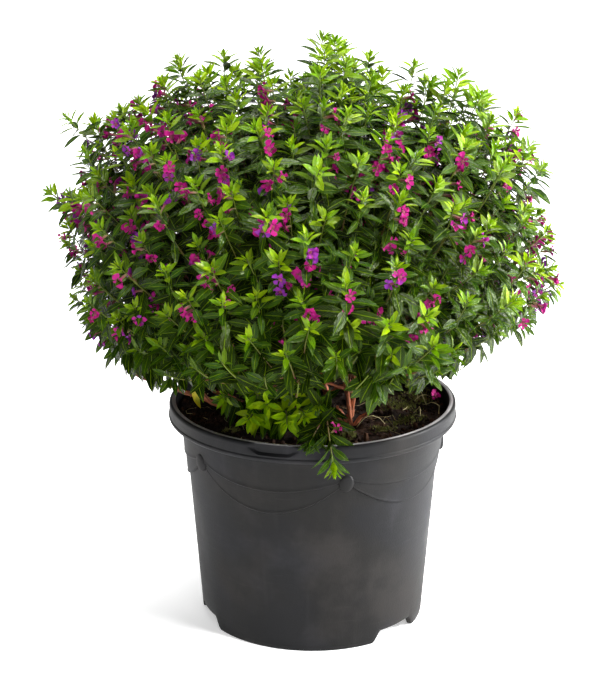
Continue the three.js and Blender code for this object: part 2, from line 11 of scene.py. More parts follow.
import bmesh
import bpy
import numpy as np
from bpy.props import FloatProperty, FloatVectorProperty, IntProperty, PointerProperty
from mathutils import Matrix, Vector


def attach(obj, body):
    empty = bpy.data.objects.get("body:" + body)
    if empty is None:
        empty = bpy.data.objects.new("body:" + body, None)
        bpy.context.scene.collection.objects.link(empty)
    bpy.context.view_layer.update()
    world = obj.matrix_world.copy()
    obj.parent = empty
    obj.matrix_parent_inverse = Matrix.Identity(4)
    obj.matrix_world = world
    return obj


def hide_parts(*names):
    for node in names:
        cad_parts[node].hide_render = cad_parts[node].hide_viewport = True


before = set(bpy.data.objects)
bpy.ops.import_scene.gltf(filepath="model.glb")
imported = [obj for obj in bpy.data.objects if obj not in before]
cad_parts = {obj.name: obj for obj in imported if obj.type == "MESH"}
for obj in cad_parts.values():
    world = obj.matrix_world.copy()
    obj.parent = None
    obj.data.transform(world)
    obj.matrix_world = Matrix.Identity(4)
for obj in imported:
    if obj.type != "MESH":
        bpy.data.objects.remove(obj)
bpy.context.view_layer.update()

bl_info = {
    "name": "Potted Cuphea",
    "version": (1, 0, 0),
    "blender": (4, 5, 0),
    "location": "3D View > Sidebar > Cuphea",
    "description": "Builds the leaves, flowers, stems, soil and pot of a potted cuphea",
    "category": "Add Mesh",
}

GOLDEN = math.pi * (3 - math.sqrt(5))

# Pot, in millimetres
FOOT_RADIUS = 74.0
WALL_SLOPE = 0.0806
WALL = 2.2
FOOT_HEIGHT = 9.0
FLOOR = 2.0
RIM_INNER = 90.4
RIM_EDGE = 95.0
SWAGS = 5
SWAG_TURN = 14.6
LOW_SWAG = (99.5, 121.5)  # height of its edge halfway between two bosses, and at them
HIGH_SWAG = (115.0, 124.0)
BOSS_HEIGHT = 122.0
BOSS_SIDES = 28
BOSS_TALL = 1.24  # its height over its width
NOTCHES = 3
NOTCH_TURN = 48.5
NOTCH_ENDS = (16.6, 10.8)  # degrees from its middle where it starts to rise, and where it is at its height
NOTCH_HEIGHT = 8.0
GRIP_TURNS = (-15.2, 164.8)
GRIP_ENDS = (11.2, 6.2)  # degrees from its middle where the rim starts to sink in, and where it is in
GRIP_FLOOR = (142.6, 145.8)  # height of its lower edge in the middle, and at its ends
GRIP_RADIUS = 92.9
FLOOR_RADIUS = 69.5
DRAINS = 6
DRAIN_RADIUS = 5.0
DRAIN_CIRCLE = 56.0

# Soil
SOIL_COLUMNS = 260
SOIL_TOP = 138.0
SOIL_HEAP = 3.6
SOIL_EDGE = RIM_INNER - 1.6
SOIL_AT_LEDGE = 3.4  # least height over the solid's level under the rim's ledge
MOSS_REACH = 86.0
FIBRE_REACH = 84.0
SEAT = 0.35  # gap between pieces that touch

# Bush
ORIGIN = np.array([-3.0, 0.0, 150.0])
MIDDLE = np.array([-4.0, -1.0, 264.0])
BUSH_RADIUS = 161.0
BUSH_RISE = 117.0
BUSH_DROP = 118.0
SQUARENESS = 2.3
OPENING = 74.0
FRONT_LIFT = 9.0
VIEW_TILT = 18.0
SEEN_UP = 0.951  # how much higher in the picture a place stands for each mm up, and for each mm back
SEEN_BACK = 0.308
# Tufts of the outline: turn up from the right as the viewer sees it, how much further out, and half width
TUFTS = (
    (81.5, 0.12, 7),
    (93, -0.1, 6),
    (127, 0.13, 8),
    (139, -0.07, 6),
    (155, 0.08, 6),
    (171, -0.035, 7),
    (25, 0.05, 12),
    (55, -0.05, 10),
    (-14, 0.06, 9),
    (-34, -0.09, 8),
)
HEM_HEIGHT = 153.0
HEM_START = 96.0
HEM_OUTWARD = 0.75
HEM_FORWARD = 0.33
HEM_RIGHT = 0.52
HEM_CLEAR = 12.0
BRANCHES = 42
BRANCH_TURN = 0.4
SOLID_SHOOTS = 86
SHOOT_TURN = 1.32
CANDIDATES = 2600
CANDIDATE_TURN = 2.1
BRANCH_START = 0.42
BRANCH_SHARES = (BRANCH_START, 0.56, 0.7)
# Crowns: name, place of the trunk, and the turns between which their branches grow
CROWNS = (
    ("woody_crown_right", 25, -22, -109, 16),
    ("woody_crown_back", 8, 36, 16, 114),
    ("woody_crown_left", -34, -2, 114, 251),
)
INNER_GAP = 0.7
# Shoots set one by one: turn, tilt from upright, and length as a share of the reach. The first ones stray.
STRAYS = 3
LONG_SHOOTS = (
    (180, 50, 1.07),
    (187, 47, 1.0),
    (1, 64.5, 1.0),
    (150, 41, 1.01),
    (63, 50, 1.06),
    (292, 66, 1.04),
    (218, 60, 1.05),
    (8, 17, 1.02),
    (0, 20.5, 0.99),
    (5, 24, 1.02),
    (352, 28, 1.0),
    (0, 4, 0.99),
    (30, 6.5, 0.97),
    (330, 7, 0.97),
    (2, 35, 0.99),
    (178, 39.5, 1.02),
)
INNER_DEPTH = 0.11
CROWN_RADIUS = 4.6
CROWN_FORK = 151.0
LIMBS = 4
LIMB_RADIUS = 2.6
TWIG_RADIUS = 1.5
LEAFY = 0.97  # share of a shoot's length that carries leaves
PATH_STEPS = 40

# Leaf pairs of a shoot, from its tip outwards: distance from the tip and length of the leaf in millimetres,
# its angle from the shoot in degrees, its age from 0 to 1, and its width as a share of a grown leaf's
PAIRS = np.array(
    [
        (0.0, 3.2, 12, 0.0, 0.84),
        (0.7, 4.8, 22, 0.01, 0.86),
        (1.6, 6.4, 31, 0.03, 0.9),
        (2.8, 8.0, 39, 0.06, 0.93),
        (4.2, 9.4, 46, 0.1, 0.97),
        (6.0, 10.7, 51, 0.16, 1.0),
        (8.2, 11.9, 55, 0.25, 1.03),
        (11.0, 13.0, 59, 0.36, 1.05),
        (14.4, 14.1, 63, 0.48, 1.06),
        (18.4, 15.3, 67, 0.6, 1.05),
        (23.0, 16.5, 71, 0.7, 1.03),
        (28.4, 17.7, 75, 0.8, 1.0),
        (34.6, 18.8, 79, 0.88, 1.0),
        (41.8, 19.6, 83, 0.94, 1.0),
        (50.0, 20.0, 86, 0.98, 1.0),
        (59.2, 19.8, 89, 1.0, 1.0),
        (69.4, 19.2, 92, 1.0, 1.0),
    ]
)
PAIR_BACK, PAIR_LENGTH, PAIR_ANGLE, PAIR_AGE, PAIR_WIDTH = PAIRS.T
SMALL_PAIRS = 5


# Settings that a user would change


def screen_colour(red, green, blue):
    """A shader's colour from the 0 to 255 values that a screen shows for it."""
    values = (v / 255 for v in (red, green, blue))
    return tuple(v / 12.92 if v < 0.04045 else ((v + 0.055) / 1.055) ** 2.4 for v in values)


def size_setting(name, description, default):
    """A length in metres."""
    return FloatProperty(
        name=name,
        description=description,
        default=default,
        min=0,
        precision=4,
        subtype="DISTANCE",
        unit="LENGTH",
    )


def share_setting(name, description, default):
    """A share from 0 to 1."""
    return FloatProperty(name=name, description=description, default=default, min=0, max=1, subtype="FACTOR")


def colour_setting(name, description, red, green, blue):
    """A colour given by its screen values."""
    return FloatVectorProperty(
        name=name,
        description=description,
        default=screen_colour(red, green, blue),
        min=0,
        max=1,
        size=3,
        subtype="COLOR",
    )


def angle_setting(name, description, degrees):
    """An angle given in degrees."""
    return FloatProperty(
        name=name, description=description, default=math.radians(degrees), subtype="ANGLE", unit="ROTATION"
    )


def count_setting(name, description, default, least, most):
    """A whole number."""
    return IntProperty(name=name, description=description, default=default, min=least, max=most)


def times(colour, factor, lift=0.0):
    """A colour's three values times a factor, plus a lift, at most 1."""
    return tuple(min(1, v * factor + lift) for v in colour)


class PotSettings(bpy.types.PropertyGroup):
    """Finish of the nursery pot."""

    columns: count_setting("Columns", "Steps round the pot", 480, 90, 900)
    plastic: colour_setting("Plastic", "Dark grey of the moulded wall", 22, 22, 22)
    # This grey also gives the painted highlight round the rim's lip, at 16 times its value.
    worn_and_lip_highlight: colour_setting("Worn plastic", "Paler grey where the wall is scuffed and dusty", 42, 41, 41)
    roughness: share_setting("Roughness", "Roughness of the moulded wall", 0.52)
    ledge: size_setting("Ledge", "How far the swags' ledges stand out", 0.0014)


class SoilSettings(bpy.types.PropertyGroup):
    """The potting soil and what lies on it."""

    dark: colour_setting("Dark soil", "Damp peat", 36, 25, 18)
    brown: colour_setting("Brown soil", "Dry peat and bark", 80, 53, 34)
    moss: colour_setting("Moss", "Moss on the soil at the right", 104, 112, 36)
    crumbs: count_setting("Crumbs", "Number of crumbs on the soil", 1500, 0, 6000)
    fibres: count_setting("Fibres", "Number of fine fibres in the soil", 70, 0, 600)


class StemSettings(bpy.types.PropertyGroup):
    """Trunks, limbs and young stems."""

    bark: colour_setting("Bark", "Reddish brown of the old wood", 196, 114, 74)
    bark_dark: colour_setting("Bark in cracks", "Dark brown between the bark's ridges", 86, 46, 30)
    young: colour_setting("Young stem", "Pale green of a shoot near its tip", 92, 116, 28)
    ripe: colour_setting("Ripe stem", "Reddish brown of a shoot further in", 96, 58, 36)
    width: size_setting("Shoot width", "Thickness of a shoot at its foot", 0.0013)


class LeafSettings(bpy.types.PropertyGroup):
    """Shoots and their leaves."""

    gap: size_setting("Shoot spacing", "Least distance between two outer shoots' tips", 0.0205)
    length: size_setting("Leaf length", "Length of a full-grown leaf", 0.0205)
    width: share_setting("Leaf width", "Width of a leaf as a share of its length", 0.36)
    young: colour_setting("Young leaf", "Lime green at the shoots' tips", 160, 202, 16)
    mature: colour_setting("Grown leaf", "Fresh green of the grown leaves", 47, 83, 4)
    old: colour_setting("Old leaf", "Dark green of the oldest leaves", 18, 32, 3)
    roughness: share_setting("Roughness", "Roughness of a leaf's upper side", 0.11)


class FlowerSettings(bpy.types.PropertyGroup):
    """Flowers near the shoots' tips."""

    flowering: share_setting("Flowering shoots", "Share of the shoots that carry flowers", 0.53)
    petal: size_setting("Petal length", "Length of a petal", 0.0042)
    magenta: colour_setting("Magenta", "Main colour of the petals", 176, 5, 116)
    violet: colour_setting("Violet", "Colour of the older petals", 136, 44, 160)
    calyx: colour_setting("Tube", "Colour of the flower's tube", 128, 52, 62)


class StageSettings(bpy.types.PropertyGroup):
    """Floor, light and camera."""

    floor: colour_setting("Floor", "Plain pale floor", 246, 246, 246)
    key: FloatProperty(
        name="Key light", description="Power of the soft main light", default=72, min=0, unit="POWER"
    )
    fill: FloatProperty(name="Sky", description="Strength of the even light all round", default=0.24, min=0)
    distance: size_setting("Camera distance", "Distance of the camera in front of the pot", 1.4)
    height: size_setting("Camera height", "Height of the camera above the floor", 0.642)
    pitch: angle_setting("Camera pitch", "How far the camera looks down", 17.94)
    yaw: angle_setting("Camera yaw", "How far the camera looks to the left", 0.34)
    lens: FloatProperty(name="Focal length", description="Focal length in mm", default=117.86, min=1)


# Materials


class Finish:
    """A node material under construction: each method adds one node and returns its output."""

    def __init__(self, name, **shader):
        self.material = bpy.data.materials.new(name)
        self.material.use_nodes = True
        self.tree = self.material.node_tree
        self.shader = self.tree.nodes["Principled BSDF"]
        for socket, value in shader.items():
            self.shader.inputs[socket.replace("_", " ")].default_value = value

    def feed(self, socket, value):
        """Links an output to a socket, or sets the socket to a value."""
        if isinstance(value, bpy.types.NodeSocket):
            self.tree.links.new(value, socket)
        elif isinstance(value, (int, float)):
            socket.default_value = value
        else:
            socket.default_value = (*value, 1) if socket.type == "RGBA" and len(value) == 3 else tuple(value)

    def node(self, kind, output=0, inputs=None, **settings):
        """A node of a kind with its settings and its inputs, given by place or name."""
        made = self.tree.nodes.new("ShaderNode" + kind)
        for key, value in settings.items():
            setattr(made, key, value)
        for key, value in (inputs or {}).items():
            self.feed(made.inputs[key], value)
        return made.outputs[output]

    def place(self, stretch=(1, 1, 1)):
        """Object coordinates, in metres, with each axis stretched."""
        return self.node("Mapping", inputs={"Vector": self.node("TexCoord", "Object"), "Scale": stretch})

    def height(self):
        """Height above the ground, in metres."""
        return self.node("SeparateXYZ", "Z", {0: self.place()})

    def from_axis(self):
        """Distance from the pot's axis, in metres."""
        return self.node("VectorMath", "Value", {0: self.place((1, 1, 0))}, operation="LENGTH")

    def uv(self):
        """The two numbers of the piece's own map: across or round it, and along it."""
        parted = self.node("SeparateXYZ", inputs={0: self.node("UVMap", "UV")}).node.outputs
        return parted["X"], parted["Y"]

    def attribute(self, name):
        """One of the mesh's own numbers."""
        return self.node("Attribute", "Fac", attribute_name=name)

    def noise(self, vector, scale, detail=2.0, rough=0.5):
        """Cloudy noise from 0 to 1."""
        inputs = {"Vector": vector, "Scale": scale, "Detail": detail, "Roughness": rough}
        return self.node("TexNoise", "Fac", inputs)

    def lines(self, across, length, detail=2.0, rough=0.5):
        """Noise on the piece's own map, stretched into lines along the piece."""
        uv = self.node("UVMap", "UV")
        stretched = self.node("Mapping", inputs={"Vector": uv, "Scale": (across, length, 1)})
        return self.noise(stretched, 1, detail, rough)

    def ramp(self, value, low, high, start=0.0, end=1.0):
        """A smooth ramp from start at low to end at high."""
        inputs = {"Value": value, 1: low, 2: high, 3: start, 4: end}
        return self.node("MapRange", inputs=inputs, interpolation_type="SMOOTHSTEP")

    def calculate(self, operation, a, b=0.0):
        """One sum on two numbers."""
        return self.node("Math", inputs={0: a, 1: b}, operation=operation)

    def mix(self, share, a, b, kind="MIX"):
        """Two colours mixed by a share."""
        return self.node("Mix", 2, {0: share, 6: a, 7: b}, data_type="RGBA", blend_type=kind)

    def bump(self, height, distance, strength=1.0):
        """A normal from a height, as deep as the distance in metres."""
        return self.node("Bump", inputs={"Height": height, "Distance": distance, "Strength": strength})

    def set(self, **sockets):
        """Feeds the shader's own sockets."""
        for name, value in sockets.items():
            self.feed(self.shader.inputs[name.replace("_", " ")], value)
        return self.material

    def lit_through(self, share, colour):
        """Lets a share of the light through the surface, tinted by a colour."""
        through = self.node("BsdfTranslucent", inputs={"Color": colour})
        both = self.node("MixShader", inputs={0: share, 1: self.shader.outputs[0], 2: through})
        self.feed(self.tree.nodes["Material Output"].inputs["Surface"], both)
        return self.material


def plastic_finish(s):
    """Moulded grey plastic: cloudy dust and wear, short scuffs across the wall, cooler and warmer patches,
    painted shade that darkens the foot, a pale line of painted highlight round the rim's top and a fine
    pebbled surface."""
    f = Finish("moulded_plastic", IOR=1.48, Specular_IOR_Level=0.16)
    cloud = f.noise(f.place(), 22, 4, 0.6)
    scuff = f.noise(f.place((26, 26, 320)), 1, 3, 0.7)
    drip = f.noise(f.place((150, 150, 9)), 1, 2, 0.5)
    wear = f.calculate("ADD", f.ramp(cloud, 0.42, 0.68, 0, 0.8), f.ramp(scuff, 0.6, 0.78, 0, 0.35))
    wear = f.calculate("ADD", wear, f.ramp(drip, 0.55, 0.75, 0, 0.18))
    colour = f.mix(wear, s.plastic, s.worn_and_lip_highlight)
    hue = f.mix(f.ramp(f.noise(f.place(), 17, 2), 0.38, 0.62), (0.93, 0.96, 1.1), (1.06, 1.0, 0.94))
    colour = f.mix(1.0, colour, hue, "MULTIPLY")
    # Painted shade: the wall darkens towards the ground, to 0.3 times the plastic's grey at the foot.
    colour = f.mix(f.ramp(f.height(), 0.0, 0.06, 0.3, 0), colour, times(s.plastic, 0.3))
    # Painted highlight: a pale line, 16 times the worn grey, over the top of the rim's inner lip.
    high, away = f.ramp(f.height(), 0.1495, 0.1499), f.ramp(f.from_axis(), 0.0926, 0.0936, 1, 0)
    colour = f.mix(f.calculate("MULTIPLY", high, away), colour, times(s.worn_and_lip_highlight, 16))
    roughness = f.ramp(cloud, 0.3, 0.75, s.roughness - 0.06, s.roughness + 0.12)
    pebbles = f.calculate("ADD", f.noise(f.place(), 900, 2, 0.6), f.calculate("MULTIPLY", scuff, 1.5))
    return f.set(Base_Color=colour, Roughness=roughness, Normal=f.bump(pebbles, 0.00012, 0.7))


def soil_finish(s):
    """Damp peat: dark, with dry brown patches, reddish bits and a coarse crumbly surface."""
    f = Finish("potting_soil", Specular_IOR_Level=0.12)
    broad = f.noise(f.place(), 45, 3, 0.6)
    fine = f.noise(f.place(), 420, 4, 0.7)
    bits = f.node("TexVoronoi", "Distance", {"Vector": f.place(), "Scale": 260})
    colour = f.mix(f.ramp(broad, 0.45, 0.75), s.dark, s.brown)
    colour = f.mix(f.ramp(fine, 0.35, 0.75, 0.15, 0.85), times(s.dark, 0.35), colour)
    colour = f.mix(f.ramp(f.attribute("tone"), 0.55, 1.0, 0, 0.55), colour, times(s.brown, 0.9))
    height = f.calculate("ADD", fine, f.calculate("MULTIPLY", bits, 0.8))
    roughness = f.ramp(fine, 0.3, 0.7, 0.98, 0.72)
    return f.set(Base_Color=colour, Roughness=roughness, Normal=f.bump(height, 0.0012, 1.0))


def moss_finish(s):
    """Moss: dull green blades, some darker and some paler, mottled with brown."""
    f = Finish("moss")
    mottle = f.noise(f.place(), 300, 2)
    colour = f.mix(f.attribute("tone"), times(s.moss, 0.4), times(s.moss, 1.25))
    colour = f.mix(f.ramp(mottle, 0.4, 0.7, 0, 0.5), colour, s.brown)
    return f.set(Base_Color=colour, Roughness=0.85, Normal=f.bump(mottle, 0.0004))


def fibre_finish():
    """Dead roots and fibres: pale straw to brown."""
    f = Finish("fibres")
    colour = f.mix(f.attribute("tone"), screen_colour(186, 174, 122), screen_colour(92, 66, 46))
    grain = f.noise(f.place((500, 500, 2500)), 1, 2)
    roughness = f.ramp(grain, 0.3, 0.7, 0.6, 0.85)
    return f.set(Base_Color=colour, Roughness=roughness, Normal=f.bump(grain, 0.0002))


def bark_finish(s):
    """Old wood: ridges along the stem, dark cracks between them and paler knots, and painted shade that
    darkens it from 78 mm out from the pot's axis, under the bush."""
    f = Finish("bark")
    ridges = f.lines(9, 0.09, 4, 0.65)
    patches = f.noise(f.place(), 130, 3, 0.6)
    colour = f.mix(f.ramp(ridges, 0.38, 0.6), s.bark_dark, s.bark)
    colour = f.mix(f.ramp(patches, 0.5, 0.75, 0, 0.6), colour, times(s.bark, 1.5))
    # Painted shade: darker from 78 to 100 mm out from the pot's axis, beyond the rim under the bush.
    colour = f.mix(f.ramp(f.from_axis(), 0.078, 0.1, 0, 0.75), colour, times(s.bark_dark, 0.3))
    height = f.calculate("ADD", ridges, f.calculate("MULTIPLY", patches, 0.6))
    roughness = f.ramp(ridges, 0.3, 0.7, 0.9, 0.62)
    return f.set(Base_Color=colour, Roughness=roughness, Normal=f.bump(height, 0.0009, 0.9))


def stem_finish(s):
    """Young stems: pale green near the tip, reddish brown further in, with fine lines along them."""
    f = Finish("young_stem", Specular_IOR_Level=0.2)
    lines = f.lines(7, 0.12)
    colour = f.mix(f.ramp(f.attribute("age"), 0.1, 0.6), s.young, s.ripe)
    colour = f.mix(f.ramp(lines, 0.35, 0.7, 0.35, 0), colour, s.bark_dark)
    roughness = f.ramp(lines, 0.3, 0.7, 0.5, 0.7)
    return f.set(Base_Color=colour, Roughness=roughness, Normal=f.bump(lines, 0.0002))


def leaf_finish(s):
    """A glossy leaf: lime when young, then green, then dark, and duller low in the bush.

    The midrib, the side veins and the margin are paler, and the leaf puckers between them. Some light comes
    through it, more through a young one. The age that sets the colour also carries painted shade deep in the
    bush and painted light on the top and the low sprigs.
    """
    f = Finish("leaf", IOR=1.5, Specular_Tint=(0.95, 1.0, 0.66, 1.0))
    age, tone = f.attribute("age"), f.attribute("tone")
    shaded = f.ramp(f.height(), 0.17, 0.26, 0.45, 1)
    gloss = f.calculate("MULTIPLY", f.ramp(age, 0.3, 1.0, 0.62, 0.13), shaded)
    across, length = f.uv()
    aside = f.calculate("ABSOLUTE", f.calculate("SUBTRACT", across, 0.5))
    rib = f.ramp(aside, 0.015, 0.075, 1, 0)
    margin = f.ramp(aside, 0.4, 0.5)
    slope = f.calculate("SUBTRACT", length, f.calculate("MULTIPLY", aside, 0.55))
    veins = f.ramp(f.calculate("SINE", f.calculate("MULTIPLY", slope, 62)), 0.7, 1.0)
    grown = f.mix(f.ramp(age, 0.04, 0.36), s.young, s.mature)
    colour = f.mix(f.ramp(age, 0.38, 0.9), grown, s.old)
    cloud = f.noise(f.place(), 240, 3, 0.6)
    colour = f.mix(f.ramp(cloud, 0.35, 0.75, 0, 0.4), colour, times(s.mature, 0.5))
    warm = f.mix(f.ramp(tone, 0.0, 1.0), (0.62, 0.78, 0.7), (1.3, 1.14, 0.8))
    colour = f.mix(1.0, colour, warm, "MULTIPLY")
    pale = f.mix(0.5, colour, s.young)
    colour = f.mix(f.calculate("MULTIPLY", rib, 0.65), colour, pale)
    colour = f.mix(f.calculate("MULTIPLY", f.calculate("MAXIMUM", veins, margin), 0.2), colour, pale)
    grooves = f.calculate("MAXIMUM", rib, f.calculate("MULTIPLY", veins, 0.5))
    pucker = f.bump(f.calculate("SUBTRACT", f.noise(f.place(), 820, 2, 0.5), grooves), 0.0007, 0.9)
    rough = f.ramp(cloud, 0.3, 0.7, s.roughness - 0.05, s.roughness + 0.12)
    f.set(Base_Color=colour, Roughness=rough, Specular_IOR_Level=gloss, Normal=pucker)
    return f.lit_through(f.ramp(age, 0.3, 1.0, 0.22, 0.07), f.mix(1.0, colour, (1.5, 1.5, 0.5), "MULTIPLY"))


def petal_finish(s):
    """Thin crinkled petals: magenta or violet, darker towards the throat, with fine veins. Some light comes
    through them."""
    f = Finish("petal", Specular_IOR_Level=0.25)
    _, length = f.uv()
    crinkle = f.noise(f.place(), 700, 3, 0.6)
    colour = f.mix(f.ramp(f.attribute("tone"), 0.64, 0.86), s.magenta, s.violet)
    colour = f.mix(f.ramp(length, 0.45, 0.0, 0, 0.7), colour, times(s.magenta, 0.35))
    colour = f.mix(f.ramp(crinkle, 0.48, 0.78, 0, 0.5), colour, times(s.magenta, 1.5, 0.045))
    colour = f.mix(f.ramp(f.lines(14, 1.2), 0.5, 0.7, 0, 0.3), colour, times(s.violet, 0.5))
    roughness = f.ramp(crinkle, 0.3, 0.7, 0.48, 0.72)
    f.set(Base_Color=colour, Roughness=roughness, Normal=f.bump(crinkle, 0.0006))
    return f.lit_through(0.25, colour)


def calyx_finish(s):
    """The flower's tube: wine red, greener at its foot, ribbed along its length by six waves round it."""
    f = Finish("calyx")
    turn, length = f.uv()
    ribs = f.calculate("SINE", f.calculate("MULTIPLY", turn, 6.2832 * 6))
    colour = f.mix(f.ramp(length, 0.5, 5.5), screen_colour(108, 112, 44), s.calyx)
    colour = f.mix(f.ramp(ribs, -1, 1, 0, 0.35), colour, times(s.magenta, 0.5))
    return f.set(Base_Color=colour, Roughness=f.ramp(ribs, -1, 1, 0.5, 0.65), Normal=f.bump(ribs, 0.0001))


def yellow_leaf_finish():
    """A withered leaf: yellow, greener in broad patches, with brown flecks."""
    f = Finish("withered_leaf")
    flecks = f.noise(f.place(), 900, 3, 0.6)
    broad = f.noise(f.place(), 160, 2)
    colour = f.mix(f.ramp(broad, 0.35, 0.7), screen_colour(214, 196, 24), screen_colour(140, 150, 20))
    colour = f.mix(f.ramp(flecks, 0.58, 0.72, 0, 0.8), colour, screen_colour(96, 74, 24))
    roughness = f.ramp(flecks, 0.3, 0.7, 0.4, 0.6)
    return f.set(Base_Color=colour, Roughness=roughness, Normal=f.bump(flecks, 0.0003))


def pod_finish():
    """A green seed pod: pale yellow-green, browner at one end, finely pitted."""
    f = Finish("seed_pod")
    _, length = f.uv()
    speckle = f.noise(f.place(), 1400, 2)
    colour = f.mix(f.ramp(length, 2.5, 5.5), screen_colour(186, 200, 96), screen_colour(132, 116, 60))
    colour = f.mix(f.ramp(speckle, 0.4, 0.7, 0, 0.4), colour, screen_colour(120, 134, 56))
    roughness = f.ramp(speckle, 0.3, 0.7, 0.4, 0.6)
    return f.set(Base_Color=colour, Roughness=roughness, Normal=f.bump(speckle, 0.0002))


# Repeatable draws and vectors


def draw(item, kind):
    """A repeatable draw from 0 to 1: the fraction of a large multiple of the sine of the item and the kind.
    Each use has kinds of its own, which are only there to tell the draws apart."""
    wave = np.sin(np.asarray(item, dtype=float) * 127.1 + kind * 311.7) * 43758.5453
    return wave - np.floor(wave)


def jitter(item, kind, count=3):
    """Vectors of draws of so many kinds in a row, each from -0.5 to 0.5."""
    return np.stack([draw(item, kind + k) for k in range(count)], -1) - 0.5


def unit(vectors):
    """Each vector over its own length."""
    return vectors / np.maximum(np.linalg.norm(vectors, axis=-1, keepdims=True), 1e-9)


def sideways(direction):
    """Two unit vectors square to each direction: one level, one as upright as it can be."""
    across = np.stack([-direction[..., 1], direction[..., 0], np.zeros(direction.shape[:-1])], -1)
    short = np.linalg.norm(across, axis=-1) < 0.05
    across[short] = (1, 0, 0)
    across = unit(across - direction * np.sum(across * direction, -1, keepdims=True))
    return across, unit(np.cross(direction, across))


def smooth(low, high, value):
    """0 below low, 1 above high, and a cubic ramp level at both ends between them."""
    t = np.clip((value - low) / (high - low), 0, 1)
    return t * t * (3 - 2 * t)


def value_noise(x, y, cell, kind):
    """Lumps from -1 to 1: draws on a square lattice of the cell's size, joined by cubic ramps."""
    ix, iy = np.floor(x / cell), np.floor(y / cell)
    fx, fy = smooth(0, 1, x / cell - ix), smooth(0, 1, y / cell - iy)

    def corner(a, b):
        return draw(a * 57.31 + b * 131.7, kind)

    low = corner(ix, iy) * (1 - fx) + corner(ix + 1, iy) * fx
    high = corner(ix, iy + 1) * (1 - fx) + corner(ix + 1, iy + 1) * fx
    return 2 * (low * (1 - fy) + high * fy) - 1


# Meshes. A part is its points, a list of arrays of faces, its attributes and its uv.


def put_mesh(name, points, faces, material, attributes=None, uv=None, sharp=60.0):
    """A mesh object of that name from points in millimetres and faces of three or four corners.

    attributes are one number for each point, and uv is a pair of numbers for each point.
    """
    mesh = bpy.data.meshes.new(name)
    faces = [np.asarray(f, dtype=np.int32) for f in (faces if isinstance(faces, list) else [faces])]
    sizes = np.concatenate([np.full(len(f), f.shape[1], dtype=np.int32) for f in faces])
    loops = np.concatenate([f.reshape(-1) for f in faces])
    mesh.vertices.add(len(points))
    mesh.vertices.foreach_set("co", (np.asarray(points) * 0.001).astype(np.float32).reshape(-1))
    mesh.loops.add(len(loops))
    mesh.loops.foreach_set("vertex_index", loops)
    mesh.polygons.add(len(sizes))
    mesh.polygons.foreach_set("loop_start", np.concatenate([[0], np.cumsum(sizes)[:-1]]).astype(np.int32))
    mesh.polygons.foreach_set("use_smooth", np.ones(len(sizes), dtype=bool))
    mesh.update(calc_edges=True)
    if uv is not None:
        corners = []
        for f in faces:
            corner = np.array(uv, dtype=np.float32)[f]
            u = corner[..., 0]
            wrapped = np.ptp(u, axis=1) > 0.6
            u[wrapped] += u[wrapped] < 0.5
            corners.append(corner.reshape(-1))
        mesh.uv_layers.new(name="UVMap").data.foreach_set("uv", np.concatenate(corners))
    for key, values in (attributes or {}).items():
        layer = mesh.attributes.new(key, "FLOAT", "POINT")
        layer.data.foreach_set("value", np.asarray(values, dtype=np.float32))
    if mesh.validate():
        raise RuntimeError(f"{name} has broken faces")
    if sharp:
        mesh.set_sharp_from_angle(angle=math.radians(sharp))
    mesh.materials.append(material)
    piece = bpy.data.objects.new(name, mesh)
    bpy.context.scene.collection.objects.link(piece)
    return piece


def place(piece, slot, *nodes):
    """The piece rides on the pot's body and stands for CAD nodes, which it hides. The slot is not used."""
    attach(piece, "root")
    if nodes:
        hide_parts(*nodes)
    return piece


def put_part(name, part, material, slot, *nodes, sharp=60.0):
    """A piece from a part, put in its place."""
    points, faces, attributes, uv = part
    return place(put_mesh(name, points, faces, material, attributes, uv, sharp), slot, *nodes)


def unmapped(points, faces, **attributes):
    """A part whose uv is 0 all over."""
    return points, faces, attributes, np.zeros((len(points), 2))


def joined(parts):
    """Several parts as one, with the faces' numbers moved on."""
    points, faces, attributes, uvs, start = [], [], {}, [], 0
    for part_points, part_faces, part_attributes, part_uv in parts:
        points.append(part_points)
        faces.extend(f + start for f in part_faces)
        for key, values in part_attributes.items():
            attributes.setdefault(key, []).append(values)
        uvs.append(part_uv)
        start += len(part_points)
    attributes = {key: np.concatenate(values) for key, values in attributes.items()}
    return np.concatenate(points), faces, attributes, np.concatenate(uvs)


def round_rings(radius, height):
    """Rings of points round the Z axis: (rings, columns) radii and heights, with each column one even step
    of turn on from the last, from the front to the right."""
    columns = radius.shape[1]
    turn = np.arange(columns) * 2 * np.pi / columns
    return np.stack([radius * np.sin(turn), -radius * np.cos(turn), height], -1)


def flipped(faces):
    """Faces that look the other way, each from the same first corner."""
    return faces[:, [0, *range(faces.shape[1] - 1, 0, -1)]]


def ring_quads(rings, sides, closed=False):
    """Quads from each ring of points to the next, and from the last one to the first if closed."""
    ring, side = np.meshgrid(np.arange(rings if closed else rings - 1), np.arange(sides), indexing="ij")
    on, low, high = (side + 1) % sides, ring * sides, (ring + 1) % rings * sides
    return np.stack([low + side, low + on, high + on, high + side], -1).reshape(-1, 4)


def closed_rings(rings, poles, turn_over=False):
    """Points and faces of closed bodies, from (number, rings, sides, 3) points and (number, 2, 3) poles.

    Quads join each ring to the next, and fans of triangles join the first and the last ring to their poles.
    """
    number, count, sides, _ = rings.shape
    side, last = np.arange(sides), (count - 1) * sides
    on, pole = (side + 1) % sides, np.full(sides, count * sides)
    fans = np.concatenate([np.stack([pole, on, side], -1), np.stack([pole + 1, last + side, last + on], -1)])
    faces = [ring_quads(count, sides), fans]
    if turn_over:
        faces = [flipped(f) for f in faces]
    start = np.arange(number)[:, None, None] * (count * sides + 2)
    points = np.concatenate([rings.reshape(number, -1, 3), poles], 1)
    return points.reshape(-1, 3), [(f + start).reshape(-1, f.shape[1]) for f in faces]


